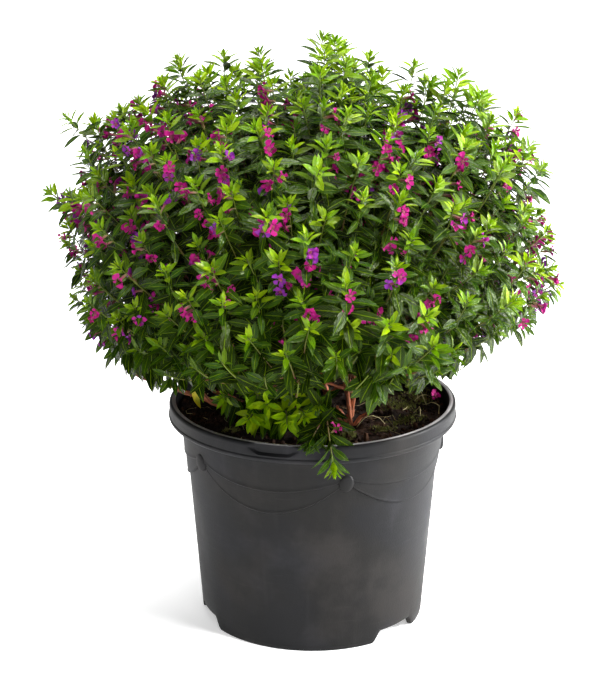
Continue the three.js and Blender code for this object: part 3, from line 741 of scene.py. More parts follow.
def tubes(paths, radii, sides, tone=None):
    """Round tubes along paths: (number, steps, 3) points with (number, steps) radii, with pointed ends.

    Each ring stands square to its path. u runs round it and v is the distance along the path.
    """
    count, steps, _ = paths.shape
    along_path = unit(np.gradient(paths, axis=1))
    reference = sideways(unit(paths[:, -1] - paths[:, 0]))[0][:, None, :]
    across = unit(reference - along_path * np.sum(reference * along_path, -1, keepdims=True))
    over = np.cross(along_path, across)
    turn = np.arange(sides) * 2 * np.pi / sides
    ring = across[:, :, None, :] * np.cos(turn)[:, None] + over[:, :, None, :] * np.sin(turn)[:, None]
    rings = paths[:, :, None, :] + ring * radii[:, :, None, None]
    poles = np.stack([paths[:, 0], paths[:, -1] + along_path[:, -1] * radii[:, -1:] * 0.6], 1)
    points, faces = closed_rings(rings, poles)
    length = np.cumsum(np.linalg.norm(np.diff(paths, axis=1, prepend=paths[:, :1]), axis=-1), 1)
    u = np.concatenate([np.tile(turn / (2 * np.pi), (count, steps)), np.zeros((count, 2))], 1)
    v = np.concatenate([np.repeat(length, sides, 1), length[:, [0, -1]]], 1)
    attributes = {} if tone is None else {"tone": np.repeat(tone, steps * sides + 2)}
    return points, faces, attributes, np.stack([u, v], -1).reshape(-1, 2)


# Pot


def wall_radius(height):
    """Outside radius of the pot's wall at a height: it grows evenly from the ground."""
    return FOOT_RADIUS + WALL_SLOPE * height


def swag_edge(middle, ends, turn):
    """Height of a swag's edge at turns in degrees: a parabola between two bosses."""
    part = np.mod((turn - SWAG_TURN) * SWAGS / 360, 1)
    return middle + (ends - middle) * (2 * part - 1) ** 2


def away_from(turn, at, each):
    """Degrees from the nearest of the turns at, at + each, at + 2 each and so on."""
    return np.abs(np.mod(turn - at + each / 2, each) - each / 2)


# Rows of the pot's section, as radius and height: its foot, from the inside out, the band under the rim,
# the edge of the finger recesses, with heights above it, the rim's upper edge, and the inside of the rim
FOOT_ROWS = (
    *((68.0, 11.0), (68.0, 9.0), (70.2, 9.0), (70.9, 8.6), (70.8, 4.5), (70.7, 0.5), (71.0, 0.0)),
    *((73.0, 0.0), (73.8, 0.4)),
)
BAND_ROWS = (
    *((93.4, 138.1), (94.5, 138.4), (95.2, 139.2), (95.5, 140.2)),
    *((95.4, 141.0), (94.95, 141.5), (RIM_EDGE, 141.9)),
)
GRIP_ROWS = ((RIM_EDGE, 0.0), (94.7, 0.3), (93.6, 0.9), (GRIP_RADIUS, 1.5))
LIP_ROWS = ((RIM_EDGE, 147.6), (94.85, 148.6), (94.3, 149.4), (93.5, 149.85), (92.6, 150.0))
INNER_ROWS = ((91.4, 150.0), (90.75, 149.8), (RIM_INNER, 149.2), (90.2, 145.0), (90.0, 140.6), (89.4, 139.8))
INSIDE_HEIGHTS = (138.2, 137.0, 110.0, 80.0, 50.0, 20.0, 11.0)


def pot_rows(turn, ledge):
    """The pot's section: rows from the inside of its foot out, up the wall, over the rim and down inside.

    The wall's rows follow the swags' edges, each ledge a quarter wave with a half wave's bead on it. The
    foot's rows lift over the gaps between the feet, and the rim's rows sink into the finger recesses.
    """
    low, high = swag_edge(*LOW_SWAG, turn), swag_edge(*HIGH_SWAG, turn)
    notch = NOTCH_HEIGHT * smooth(*NOTCH_ENDS, away_from(turn, NOTCH_TURN, 360 / NOTCHES))
    grip = np.maximum.reduce([smooth(*GRIP_ENDS, away_from(turn, at, 360)) for at in GRIP_TURNS])
    rows = []

    def add(radius, height):
        lifted = np.minimum(notch + height * 0.12, FOOT_HEIGHT - 0.4)
        rows.append((radius * np.ones_like(turn), np.maximum(height, lifted)))

    def climb(start, height, shares, stand=0.0, step=0.0, bead=0.0):
        for share in shares:
            z = start + height * share
            add(wall_radius(z) + stand + step * np.sin(share * np.pi / 2) + bead * np.sin(share * np.pi), z)

    for radius, height in FOOT_ROWS:
        add(radius, height)
    base = FOOT_HEIGHT + 1.0
    for height in (1.6, 4.0, base):
        add(wall_radius(height), height)
    below = low - 1.1
    start, end = low + 0.9, np.maximum(high - 0.9, low + 1.2)
    top = end + 1.7
    climb(base, below - base, np.linspace(0.08, 1, 16))
    climb(below, 2.0, (0.2, 0.4, 0.6, 0.8, 1.0), 0.0, ledge, 0.45)
    climb(start, end - start, np.linspace(0.12, 1, 8), ledge)
    climb(end, 1.7, (0.25, 0.5, 0.75, 1.0), ledge, 0.5 * ledge, 0.35)
    climb(top, 136.4 - top, np.linspace(0.12, 1, 8), 1.5 * ledge)
    under = wall_radius(137.5) + 1.5 * ledge
    for radius, height in ((under + 0.25, 137.5), (under + 1.1, 138.1), *BAND_ROWS):
        add(radius, height)
    grip_low, grip_high = GRIP_FLOOR
    edge = grip_low + (grip_high - grip_low) * smooth(5.6, 10.4, away_from(turn, GRIP_TURNS[0], 180))
    for radius, height in GRIP_ROWS:
        add(RIM_EDGE - grip * (RIM_EDGE - radius), edge + height)
    for radius, height in LIP_ROWS:
        add(radius - grip * np.maximum(radius - GRIP_RADIUS, 0), np.maximum(height, edge + 1.6))
    for radius, height in INNER_ROWS:
        add(radius, height)
    for height in INSIDE_HEIGHTS:
        add(wall_radius(height) - WALL, height)
    radii, heights = zip(*rows)
    return np.stack(radii), np.stack(heights)


def pot_floor():
    """The pot's floor plate: wedges, each a ring of quads from its drain hole out to the wedge's border, on
    the lower and the upper side, with the hole's wall between them."""
    top, bottom = FOOT_HEIGHT + FLOOR - 0.08, FOOT_HEIGHT + 0.08
    half = np.pi / DRAINS
    side, forward = FLOOR_RADIUS * math.sin(half), FLOOR_RADIUS * math.cos(half) - DRAIN_CIRCLE
    corners = [math.atan2(side, forward), math.atan2(-side, forward)]
    aim = np.unique(np.round(np.concatenate([np.linspace(-np.pi, np.pi, 37)[:-1], corners]), 9))
    c, s = np.cos(aim), np.sin(aim)
    to_rim = -DRAIN_CIRCLE * c + np.sqrt((DRAIN_CIRCLE * c) ** 2 + FLOOR_RADIUS**2 - DRAIN_CIRCLE**2)
    fall = np.sin(half) * c - np.cos(half) * np.abs(s)
    to_side = np.where(fall < -1e-9, DRAIN_CIRCLE * np.sin(half) / np.maximum(-fall, 1e-9), 1e9)
    border = np.minimum(to_rim, to_side)
    parts = []
    for wedge in range(DRAINS):
        turn = (wedge + 0.5) * 2 * half
        rings = []
        for away, z in ((border, bottom), (DRAIN_RADIUS, bottom), (DRAIN_RADIUS, top), (border, top)):
            x, y = DRAIN_CIRCLE + away * c, away * s
            turned_x, turned_y = x * np.sin(turn) + y * np.cos(turn), -x * np.cos(turn) + y * np.sin(turn)
            rings.append(np.stack([turned_x, turned_y, z + 0 * x], -1))
        parts.append(unmapped(np.concatenate(rings), [flipped(ring_quads(len(rings), len(aim)))]))
    return joined(parts)


# A boss's rows: radius, and how far they stand out
BOSS_ROWS = np.array([(4.9, -2.0), (5.1, -0.6), (4.7, 0.2), (4.2, 0.8), (3.3, 1.2), (1.9, 1.4)])


def knob(turn, stand_out):
    """A boss where two swags meet: a low dome that stands out from the wall, a little taller than wide."""
    stand = wall_radius(BOSS_HEIGHT) + stand_out
    radius, out = BOSS_ROWS.T[:, :, None]
    angle = np.arange(BOSS_SIDES) * 2 * np.pi / BOSS_SIDES
    x, z = radius * np.cos(angle), radius * np.sin(angle) * BOSS_TALL
    rings = np.stack([x, -(stand + out + 0 * angle), BOSS_HEIGHT + z - 0.4], -1)
    poles = np.array([[0, -(stand - 2.2), BOSS_HEIGHT - 0.4], [0, -(stand + 1.5), BOSS_HEIGHT - 0.4]])
    points, faces = closed_rings(rings[None], poles[None])
    c, s = math.cos(math.radians(turn)), math.sin(math.radians(turn))
    return unmapped(points @ np.array([[c, s, 0], [-s, c, 0], [0, 0, 1]]), faces)


# Soil and what lies on it


def soil_height(x, y):
    """Height of the soil: heaped over the solid's level, with two slow waves, a dip at the wall, and lumps
    of three sizes, but near the wall nowhere under the ledge inside the rim."""
    share = np.hypot(x, y) / RIM_INNER
    waves = np.sin(x * 0.13 + 1.1) * np.cos(y * 0.11 - 0.4) + 0.6 * np.sin(x * 0.29 - y * 0.23 + 2.2)
    lumpy = 1.1 * value_noise(x, y, 9, 41) + 0.7 * value_noise(x, y, 3.7, 42)
    lumpy = lumpy + 0.35 * value_noise(x, y, 1.7, 43)
    heaped = SOIL_TOP + SOIL_HEAP + 1.6 * waves * (1 - share**4) + 0.8 * share**4 + lumpy
    return np.maximum(heaped, np.where(share > 0.88, SOIL_TOP + SOIL_AT_LEDGE, 0))


def soil_body():
    """The soil as a turned body: its foot and wall inside the pot, and rings of its surface, edge first."""
    bottom = FOOT_HEIGHT + FLOOR + SEAT
    foot, wall = wall_radius(bottom) - WALL - SEAT, wall_radius(131) - WALL - SEAT
    side = ((foot, bottom), (wall - 1.2, 118.0), (wall, SOIL_TOP - 1.6), (SOIL_EDGE, SOIL_TOP + 2.8))
    radius, height = np.array(side).T[:, :, None] * np.ones(SOIL_COLUMNS)
    inward = SOIL_EDGE * np.linspace(1, 0.02, 80)[:, None] * np.ones(SOIL_COLUMNS)
    x, y, _ = np.moveaxis(round_rings(inward, inward), -1, 0)
    radius, height = np.concatenate([radius, inward]), np.concatenate([height, soil_height(x, y)])
    poles = np.array([[0, 0, height[0].mean()], [0, 0, height[-1].mean()]])
    points, faces = closed_rings(round_rings(radius, height)[None], poles[None])
    return unmapped(points, faces, tone=np.zeros(len(points)))


def scattered(count, kind, radius):
    """Points spread evenly over a disc by draws: the radius goes with the square root of a draw."""
    i = np.arange(count)
    away = radius * np.sqrt(draw(i, kind))
    turn = 2 * np.pi * draw(i, kind + 1)
    return away * np.cos(turn), away * np.sin(turn)


def held_in(x, y, radius):
    """Places moved in to a radius where they lie beyond it."""
    inside = np.minimum(1, radius / np.hypot(x, y))
    return x * inside, y * inside


def turned_frames(item, kind):
    """A repeatable turn for each item: the rotation of a unit quaternion made from four draws."""
    w, x, y, z = unit(jitter(item, kind, 4)).T
    return np.stack(
        [
            np.stack([1 - 2 * (y * y + z * z), 2 * (x * y - z * w), 2 * (x * z + y * w)], -1),
            np.stack([2 * (x * y + z * w), 1 - 2 * (x * x + z * z), 2 * (y * z - x * w)], -1),
            np.stack([2 * (x * z - y * w), 2 * (y * z + x * w), 1 - 2 * (x * x + y * y)], -1),
        ],
        1,
    )


# A twenty-sided ball: its points, from the golden section, and its sides
RATIO = (1 + 5**0.5) / 2
BALL_POINTS = (
    *((-1, RATIO, 0), (1, RATIO, 0), (-1, -RATIO, 0), (1, -RATIO, 0)),
    *((0, -1, RATIO), (0, 1, RATIO), (0, -1, -RATIO), (0, 1, -RATIO)),
    *((RATIO, 0, -1), (RATIO, 0, 1), (-RATIO, 0, -1), (-RATIO, 0, 1)),
)
BALL_SIDES = (
    *((0, 11, 5), (0, 5, 1), (0, 1, 7), (0, 7, 10), (0, 10, 11), (1, 5, 9), (5, 11, 4), (11, 10, 2)),
    *((10, 7, 6), (7, 1, 8), (3, 9, 4), (3, 4, 2), (3, 2, 6), (3, 6, 8), (3, 8, 9), (4, 9, 5)),
    *((2, 4, 11), (6, 2, 10), (8, 6, 7), (9, 8, 1)),
)


def small_faces(sides, each, number):
    """The faces of one small body, repeated for a number of them with so many points each."""
    return [(np.array(sides)[None] + (np.arange(number) * each)[:, None, None]).reshape(-1, 3)]


def crumbs(number):
    """Crumbs on the soil: twenty-sided balls, each stretched by its three sizes, dented by a draw at each
    point, and turned. One in five is long."""
    i = np.arange(number)
    x, y = scattered(number, 60, SOIL_EDGE - 1.5)
    size = 0.5 + 1.9 * draw(i, 62) ** 3
    long = np.where(draw(i, 63) > 0.8, 2.6, 1.0)
    sizes = np.stack([size * long, size * (0.6 + 0.4 * draw(i, 64)), size * (0.4 + 0.4 * draw(i, 65))], -1)
    centres = np.stack([x, y, soil_height(x, y) + 0.25 * size], -1)
    dent = 0.75 + 0.5 * draw(i[:, None] * 3.1 + np.arange(12)[None], 66)
    points = unit(np.array(BALL_POINTS, dtype=float)) * dent[..., None] * sizes[:, None]
    points = np.einsum("nij,nkj->nki", turned_frames(i, 67), points) + centres[:, None]
    tone = np.repeat(draw(i, 72), 12)
    return unmapped(points.reshape(-1, 3), small_faces(BALL_SIDES, 12, number), tone=tone)


# Moss cushions: place and radius
CUSHIONS = np.array(
    [(58, 4, 9), (70, 20, 8), (62, -22, 8), (74, 36, 6), (46, -40, 5), (24, -52, 4), (-52, -44, 4)]
)


def moss(number=2600):
    """Moss: small pointed blades of three sides, spread over its cushions, more over the first ones."""
    i = np.arange(number)
    own = (draw(i, 90) ** 1.4 * len(CUSHIONS)).astype(int)
    away = CUSHIONS[own, 2] * np.sqrt(draw(i, 91)) * (0.5 + draw(i, 92))
    turn = 2 * np.pi * draw(i, 93)
    x, y = CUSHIONS[own, 0] + 1.3 * away * np.cos(turn), CUSHIONS[own, 1] + away * np.sin(turn)
    x, y = held_in(x, y, MOSS_REACH)
    foot = np.stack([x, y, soil_height(x, y) - 0.2], -1)
    way = unit(np.stack([draw(i, 94) - 0.5, draw(i, 95) - 0.5, 0.6 + 0 * x], -1))
    length, width = 0.8 + 1.9 * draw(i, 96), 0.28 + 0.2 * draw(i, 97)
    across, over = sideways(way)
    turn = np.arange(3) * 2 * np.pi / 3
    ring = across[:, None] * np.cos(turn)[:, None] + over[:, None] * np.sin(turn)[:, None]
    tip = (foot + way * length[:, None])[:, None]
    points = np.concatenate([foot[:, None] + ring * width[:, None, None], tip], 1).reshape(-1, 3)
    faces = small_faces([(0, 1, 3), (1, 2, 3), (2, 0, 3), (2, 1, 0)], 4, number)
    return unmapped(points, faces, tone=np.repeat(draw(i, 98), 4))


def lying_paths(x, y, heading, curl, length, lift, steps):
    """Paths along the soil from x and y that turn evenly by the curl and rise once by the lift."""
    t = np.linspace(0, 1, steps)[None]
    angle = heading[:, None] + curl[:, None] * (t - 0.5)
    x = x[:, None] + np.cumsum(np.cos(angle), 1) * length[:, None] / steps
    y = y[:, None] + np.cumsum(np.sin(angle), 1) * length[:, None] / steps
    x, y = held_in(x, y, FIBRE_REACH)
    return np.stack([x, y, soil_height(x, y) + 0.3 + lift[:, None] * np.sin(np.pi * t)], -1)


def fibres(number, steps=8):
    """Fine fibres all over the soil, thinner towards one end."""
    i = np.arange(number)
    x, y = scattered(number, 75, SOIL_EDGE - 6)
    heading, curl = 6.28 * draw(i, 77), 5 * (draw(i, 78) - 0.5)
    paths = lying_paths(x, y, heading, curl, 6 + 22 * draw(i, 79), 2.2 * draw(i, 80), steps)
    radii = (0.12 + 0.2 * draw(i, 81))[:, None] * (1 - 0.5 * np.linspace(0, 1, steps)[None])
    return tubes(paths, radii, 4, draw(i, 82))


def pale_roots(number=5, steps=12):
    """A few pale roots that arch over the soil at the right."""
    i = np.arange(number)
    x, y = 44 + 30 * draw(i, 83), -34 + 56 * draw(i, 84)
    heading, curl = 6.28 * draw(i, 85), 5 * (draw(i, 86) - 0.5)
    paths = lying_paths(x, y, heading, curl, 14 + 20 * draw(i, 87), 2 + 8 * draw(i, 88), steps)
    return tubes(paths, np.full((number, steps), 0.24), 5, 0.2 * draw(i, 89))


def seed_pod():
    """A pod on the soil: a tube whose radius goes with the root of a sine."""
    t = np.linspace(0, 1, 9)
    path = np.stack([63 + 5.4 * t, 40 + 1.2 * t, 143.6 + 1.6 * t], -1)
    return tubes(path[None], 1.9 * np.sqrt(0.06 + 0.94 * np.sin(np.pi * t))[None], 14)


# Leaves


# Rows of a grown leaf and of a small one: share of the length, and half width as a share of the widest
GROWN_ROWS = (np.array([0.14, 0.38, 0.64, 0.86]), np.array([0.44, 0.98, 0.9, 0.46]))
SMALL_ROWS = (np.array([0.3, 0.7]), np.array([0.95, 0.75]))


def toward(vectors, way):
    """Unit vectors nearest to the given ones among those square to a way."""
    return unit(vectors - way * np.sum(vectors * way, -1, keepdims=True))


def blades(base, tip, middle, left, right, thick, shares, **attributes):
    """Closed blades: rows of left, upper, right and lower points, with a base point and a tip point."""
    rings = np.stack([left, middle + thick, right, middle - thick], 2)
    points, faces = closed_rings(rings, np.stack([base, tip], 1), turn_over=True)
    u = np.append(np.tile([0, 0.5, 1, 0.5], len(shares)), [0.5, 0.5])
    v = np.append(np.repeat(shares, 4), [0, 1])
    attributes = {key: np.repeat(values, len(u)) for key, values in attributes.items()}
    return points, faces, attributes, np.tile(np.stack([u, v], -1), (len(base), 1))


def leaves(plan, base, way, upper, length, width, bend, fold, age, tone):
    """Closed leaves, pointed at both ends and widest before the middle.

    The midline leaves base along way and falls away from the upper side with the square of the distance.
    The edges stand above the midline by fold times the half width.
    """
    shares, halves = plan
    flat = np.cross(upper, way)
    at = shares[None, :, None]
    middle = base[:, None] + way[:, None] * (length[:, None, None] * at)
    middle = middle - upper[:, None] * (length * bend)[:, None, None] * at**2
    half = (halves[None] * width[:, None] / 2)[..., None]
    lift = upper[:, None] * half * fold[:, None, None]
    left, right = middle - flat[:, None] * half + lift, middle + flat[:, None] * half + lift
    thick = upper[:, None] * np.minimum(0.22, length * 0.02)[:, None, None]
    tip = base + way * length[:, None] * 0.99 - upper * (length * bend * 1.05)[:, None]
    return blades(base, tip, middle, left, right, thick, shares, age=age, tone=tone)


def withered_leaf():
    """One yellow leaf that hangs over the rim at the left."""
    way = unit(np.array([[0.12, -0.1, -1.0]]))
    upper = toward(np.array([[-0.5, -0.8, 0.1]]), way)
    numbers = (np.array([value]) for value in (17.0, 5.4, 0.22, 0.3, 1.0, 0.5))
    return leaves(GROWN_ROWS, np.array([[-77.5, -17.0, 164.0]]), way, upper, *numbers)


# Bush layout


def tuft_gain(way):
    """How much further out than a plain mound the bush reaches: a bell curve for each of its tufts."""
    tilt = math.radians(VIEW_TILT)
    seen_up = way[..., 1] * math.sin(tilt) + way[..., 2] * math.cos(tilt)
    seen_turn = np.degrees(np.arctan2(seen_up, way[..., 0]))
    at_outline = (way[..., 0] ** 2 + seen_up**2) ** 3
    gain = np.zeros(way.shape[:-1])
    for at, amount, wide in TUFTS:
        away = np.mod(seen_turn - at + 540, 360) - 180
        gain += amount * np.exp(-((away / wide) ** 2))
    return gain * at_outline


def depth(points):
    """0 at the bush's middle and 1 on its surface, a squarish ellipsoid with tufts."""
    way = points - MIDDLE
    wide = np.hypot(way[..., 0], way[..., 1]) / BUSH_RADIUS
    tall = np.abs(way[..., 2]) / np.where(way[..., 2] > 0, BUSH_RISE, BUSH_DROP)
    plain = (wide**SQUARENESS + tall**SQUARENESS) ** (1 / SQUARENESS)
    return plain / (1 + tuft_gain(unit(way)))


def reach(directions):
    """Distance from the origin to the bush's surface in each direction, by halving."""
    inside = np.zeros(directions.shape[:-1])
    outside = inside + 400
    for _ in range(20):
        half = (inside + outside) / 2
        within = depth(ORIGIN + directions * half[..., None]) < 1
        inside, outside = np.where(within, half, inside), np.where(within, outside, half)
    return inside


def along(directions, share):
    """The point at a share of the reach in each direction."""
    return ORIGIN + directions * (reach(directions) * share)[..., None]


def direction_of(tilt, turn):
    """The direction at a tilt from upright and a turn from +X, in radians."""
    return np.stack([np.sin(tilt) * np.cos(turn), np.sin(tilt) * np.sin(turn), np.cos(tilt)], -1)


def spread(count, turn, opening=OPENING):
    """Directions spread evenly over the cone that the bush fills, each a golden angle on from the last."""
    i = np.arange(count)
    azimuth = i * GOLDEN + turn
    polar = np.arccos(1 - (i + 0.5) / count * (1 - math.cos(math.radians(opening))))
    front = np.maximum(0, -np.sin(azimuth)) ** 2
    return direction_of(polar * (1 - FRONT_LIFT / opening * front), azimuth)


def bend_path(foot, tip, tip_way, steps):
    """Points on a quadratic curve from foot to tip that ends along tip_way."""
    size = np.linalg.norm(tip - foot, axis=-1, keepdims=True)
    knee = tip - tip_way * size * 0.55
    t = np.linspace(0, 1, steps)[None, :, None]
    return foot[:, None] * (1 - t) ** 2 + knee[:, None] * 2 * t * (1 - t) + tip[:, None] * t**2


@functools.cache
def shoot_layout(gap):
    """The shoots: those of the solids, more on the bush's surface wherever no other tip is nearer than the
    gap, shorter ones between these whose tips lie deeper in the bush, and the ones set one by one."""
    solid, more = spread(SOLID_SHOOTS, SHOOT_TURN), spread(CANDIDATES, CANDIDATE_TURN, OPENING + 3)
    spots = along(more, 1.0)
    high = spots[:, 2] > hem(spots) + HEM_CLEAR
    kept, tips, inner = list(solid), list(along(solid, 1.0)), [0] * len(solid)
    for deeper, apart in ((0, gap), (1, INNER_GAP * gap)):
        for direction, tip in zip(more[high], spots[high]):
            if np.min(np.linalg.norm(np.array(tips) - tip, axis=1)) > apart:
                kept.append(direction)
                tips.append(tip)
                inner.append(deeper)
    turn, tilt, long = np.array(LONG_SHOOTS).T
    directions = np.concatenate([kept, direction_of(np.radians(tilt), np.radians(turn))])
    others = np.zeros(len(kept))
    inner = np.concatenate([inner, 0 * long])
    stray = np.concatenate([others, np.arange(len(long)) < STRAYS])
    upright = np.concatenate([others, np.radians(tilt) < 0.8])
    i = np.arange(len(directions))
    branches = spread(BRANCHES, BRANCH_TURN)
    own = np.argmax(directions @ branches.T, axis=1)
    shares = 1 - np.where(i < SOLID_SHOOTS, 0.09, 0.12) * draw(i, 1) - inner * INNER_DEPTH
    shares[len(kept) :] = long
    tip = along(directions, shares)
    foot = along(unit(directions * 0.25 + branches[own] * 0.75), 0.5 * shares)
    level = np.hypot(directions[:, 0], directions[:, 1])
    lift = 0.34 + 0.3 * (draw(i, 2) - 0.5) - 0.5 * smooth(0.9, 0.99, level)
    tip_way = unit(directions + np.array([0, 0, 1]) * lift[:, None] + 0.55 * jitter(i, 3))
    # How much older and darker a shoot's leaves are: a random part, painted shade that darkens the inner
    # shoots deep in the bush and the low side shoots, and painted light that makes the top, upright and
    # stray shoots younger and paler.
    age_and_painted_shade = 0.1 * draw(i, 18) + 0.2 * smooth(0.86, 0.99, level) + 0.36 * inner
    age_and_painted_shade = age_and_painted_shade - 0.1 * smooth(0.8, 0.55, level) - 0.2 * stray - 0.14 * upright
    hanging = 0.45 * smooth(0.5, 0.95, np.abs(directions[:, 0]))
    shoots = {
        "index": i,
        "own": own,
        "path": bend_path(foot, tip, tip_way, PATH_STEPS),
        "size": np.where(stray > 0, 1.0, 0.84 + 0.36 * draw(i, 6)),
        "turn": draw(i, 7) * 2 * np.pi,
        "age_and_painted_shade": age_and_painted_shade,
        "droop": hanging * (1 - 0.7 * stray * (directions[:, 0] < 0)),
        "leafy": np.full(len(i), LEAFY),
        "stray": stray,
        "free": stray > 0,
    }
    return picked(shoots, (tip[:, 2] > hem(tip) - 3) | (stray > 0))


def points_on(path, back):
    """Points, and the ways on from them, at distances back from each path's tip."""
    steps = np.linalg.norm(np.diff(path, axis=1), axis=-1)
    from_tip = np.concatenate([np.cumsum(steps[:, ::-1], 1)[:, ::-1], np.zeros((len(path), 1))], 1)
    near = np.sum(from_tip[:, None, :] > back[:, :, None], -1).clip(1, path.shape[1] - 1)
    row = np.arange(len(path))[:, None]
    a, b = path[row, near - 1], path[row, near]
    da, db = from_tip[row, near - 1], from_tip[row, near]
    t = np.clip((da - back) / np.maximum(da - db, 1e-6), 0, 1)[..., None]
    return a + (b - a) * t, unit(b - a)


def hem(points):
    """Height of the bush's lower edge: a little over the pot's rim, and higher by the most of three slopes,
    outwards, forwards and to the right."""
    outward = HEM_OUTWARD * np.maximum(0, np.hypot(points[..., 0], points[..., 1]) - HEM_START)
    outward = outward * (1 + 0.2 * smooth(20, 110, points[..., 0]))
    forward = -HEM_FORWARD * np.minimum(0, points[..., 1])
    right = HEM_RIGHT * np.maximum(0, points[..., 0] - 58) + 0.8 * forward * smooth(45, 85, points[..., 0])
    return HEM_HEIGHT + np.maximum.reduce([outward, forward, right])


def leaf_pairs(shoots, scale, width):
    """Leaves in opposite pairs on each shoot, each pair a quarter turn from the last, larger and wider open
    further from the tip. Their upper sides turn towards the light.

    Near the bush's lower edge there are fewer leaves, and they are older and hang more. Nothing but the
    leaves of free shoots comes below the edge, which is higher in front of the trunks.
    """
    size, free, stray = (shoots[key][:, None] for key in ("size", "free", "stray"))
    k = np.arange(len(PAIR_BACK))[None]
    item = shoots["index"][:, None] * 13.7 + k
    back = PAIR_BACK * size
    total = np.linalg.norm(np.diff(shoots["path"], axis=1), axis=-1).sum(1)[:, None]
    kept = back < total * shoots["leafy"][:, None]
    centre, axis = points_on(shoots["path"], back)
    x, y, z = np.moveaxis(centre, -1, 0)
    across, over = sideways(axis)
    turn = shoots["turn"][:, None] + k * np.pi / 2 + 0.5 * (draw(item, 8) - 0.5)
    light = unit(unit(centre - MIDDLE) * 0.5 + np.array([0.15, -0.35, 0.85]))
    edge = smooth(70, 105, np.hypot(x, y)) * smooth(30, 8, z - hem(centre))
    clear = 9 * smooth(20, 60, -y) * smooth(-6, 12, x) * smooth(70, 52, x)
    parts = []
    for side in (0, 1):
        pick = item + 0.37 + side * 71.3
        angle = turn + side * np.pi
        outward = across * np.cos(angle)[..., None] + over * np.sin(angle)[..., None]
        open_by = np.radians(PAIR_ANGLE + 18 * (draw(pick, 9) - 0.5))[..., None]
        hang = 0.04 + 0.3 * PAIR_AGE * (0.5 + draw(pick, 10)) + 0.12 * smooth(205, 160, z)
        hang = (hang + shoots["droop"][:, None] + 0.3 * edge)[..., None]
        way = unit(axis * np.cos(open_by) + outward * np.sin(open_by) - np.array([0, 0, 1]) * hang)
        upper = axis * np.sin(open_by) - outward * np.cos(open_by)
        upper = upper + light * (0.25 + 0.75 * PAIR_AGE)[:, None]
        upper = toward(upper - np.array([0, 1, 0]) * (0.9 * stray)[..., None], way)
        roll = (draw(pick, 11) - 0.5)[..., None]
        upper = unit(upper * np.cos(roll) + np.cross(way, upper) * np.sin(roll))
        long = scale * PAIR_LENGTH * size * (0.86 + 0.28 * draw(pick, 12))
        wide = long * width * PAIR_WIDTH * (0.7 + 0.42 * draw(pick, 13))
        bend = 0.02 + 0.16 * draw(pick, 14) + 0.13 * PAIR_AGE
        fold = 0.42 - 0.36 * PAIR_AGE + 0.1 * draw(pick, 15)
        # The age sets the leaf's colour: the pair's real age plus the shoot's painted shade and painted
        # light.
        age = PAIR_AGE + 0.12 * (draw(pick, 16) - 0.5) + shoots["age_and_painted_shade"][:, None] + 0.2 * edge
        foot = centre + outward * (0.5 + 0.03 * back)[..., None].clip(0, 0.9)
        tip = foot + way * long[..., None]
        fields = (foot, way, upper, long, wide, bend, fold, np.clip(age, 0, 1), draw(pick, 17))
        loose = smooth(75, 110, np.hypot(foot[..., 0], foot[..., 1]))
        above = (tip[..., 2] > hem(tip) + clear - 3 * loose) & (foot[..., 2] > hem(foot) + clear + 7 * loose)
        grown = kept & (free | (above & (draw(pick, 19) > 0.55 * edge)))
        small = grown & (k < SMALL_PAIRS)
        for plan, those in ((GROWN_ROWS, grown & ~small), (SMALL_ROWS, small)):
            parts.append(leaves(plan, *(field[those] for field in fields)))
    return joined(parts)


def hanging_fan(path, scale, width):
    """Grown leaves that hang like a fan from the stretch of a stem before its tip. Their ways spread evenly
    from side to side about straight down, and their upper sides face the viewer."""
    turn = np.radians(np.array([-66, -46, -30, -12, 4, 20, 38, 60]))
    i = np.arange(len(turn))
    base, _ = points_on(path[None], (7 + 7 * draw(i, 101))[None])
    way = unit(np.stack([np.sin(turn), -0.3 + 0.35 * draw(i, 102), -np.cos(turn)], -1))
    aside = np.stack([draw(i, 103) - 0.5, 0 * turn, draw(i, 104) - 0.5], -1)
    upper = toward(np.array([0.1, -0.9, 0.45]) + 0.5 * aside, way)
    length = scale * (17.5 + 4.5 * draw(i, 105))
    bend, fold, age = 0.16 + 0 * turn, 0.1 + 0 * turn, 0.5 + 0.3 * draw(i, 106)
    return leaves(GROWN_ROWS, base[0], way, upper, length, width * length, bend, fold, age, draw(i, 107))


# Flowers


PETAL_ROWS = (np.array([0.34, 0.64, 0.9]), np.array([0.52, 1.0, 0.86]))
PETALS = 6
TUBE_LENGTH = 6.5
TUBE_RADII = np.array([0.5, 0.95, 0.85, 1.25])
MOST_FLOWERS = 5


def petals(base, way, upper, length, width, wave, tone):
    """Closed petals on a narrow claw, broad and rounded at the end. Each edge stands above the midline by
    the half width times a sine of the distance, so that the petal crinkles."""
    shares, halves = PETAL_ROWS
    flat = np.cross(upper, way)
    at = shares[None, :, None]
    middle = base[:, None] + way[:, None] * length[:, None, None] * at
    half = (halves[None] * width[:, None] / 2)[..., None]
    phase = 6.3 * wave[:, None, None]
    lift = upper[:, None] * half
    left = middle - flat[:, None] * half + lift * (0.25 + 0.75 * np.sin(7 * at + phase))
    right = middle + flat[:, None] * half + lift * (0.25 + 0.75 * np.sin(8 * at + 1.7 * phase))
    tip = base + way * length[:, None] + upper * (length * 0.1)[:, None]
    return blades(base, tip, middle, left, right, upper[:, None] * 0.12, shares, tone=tone)


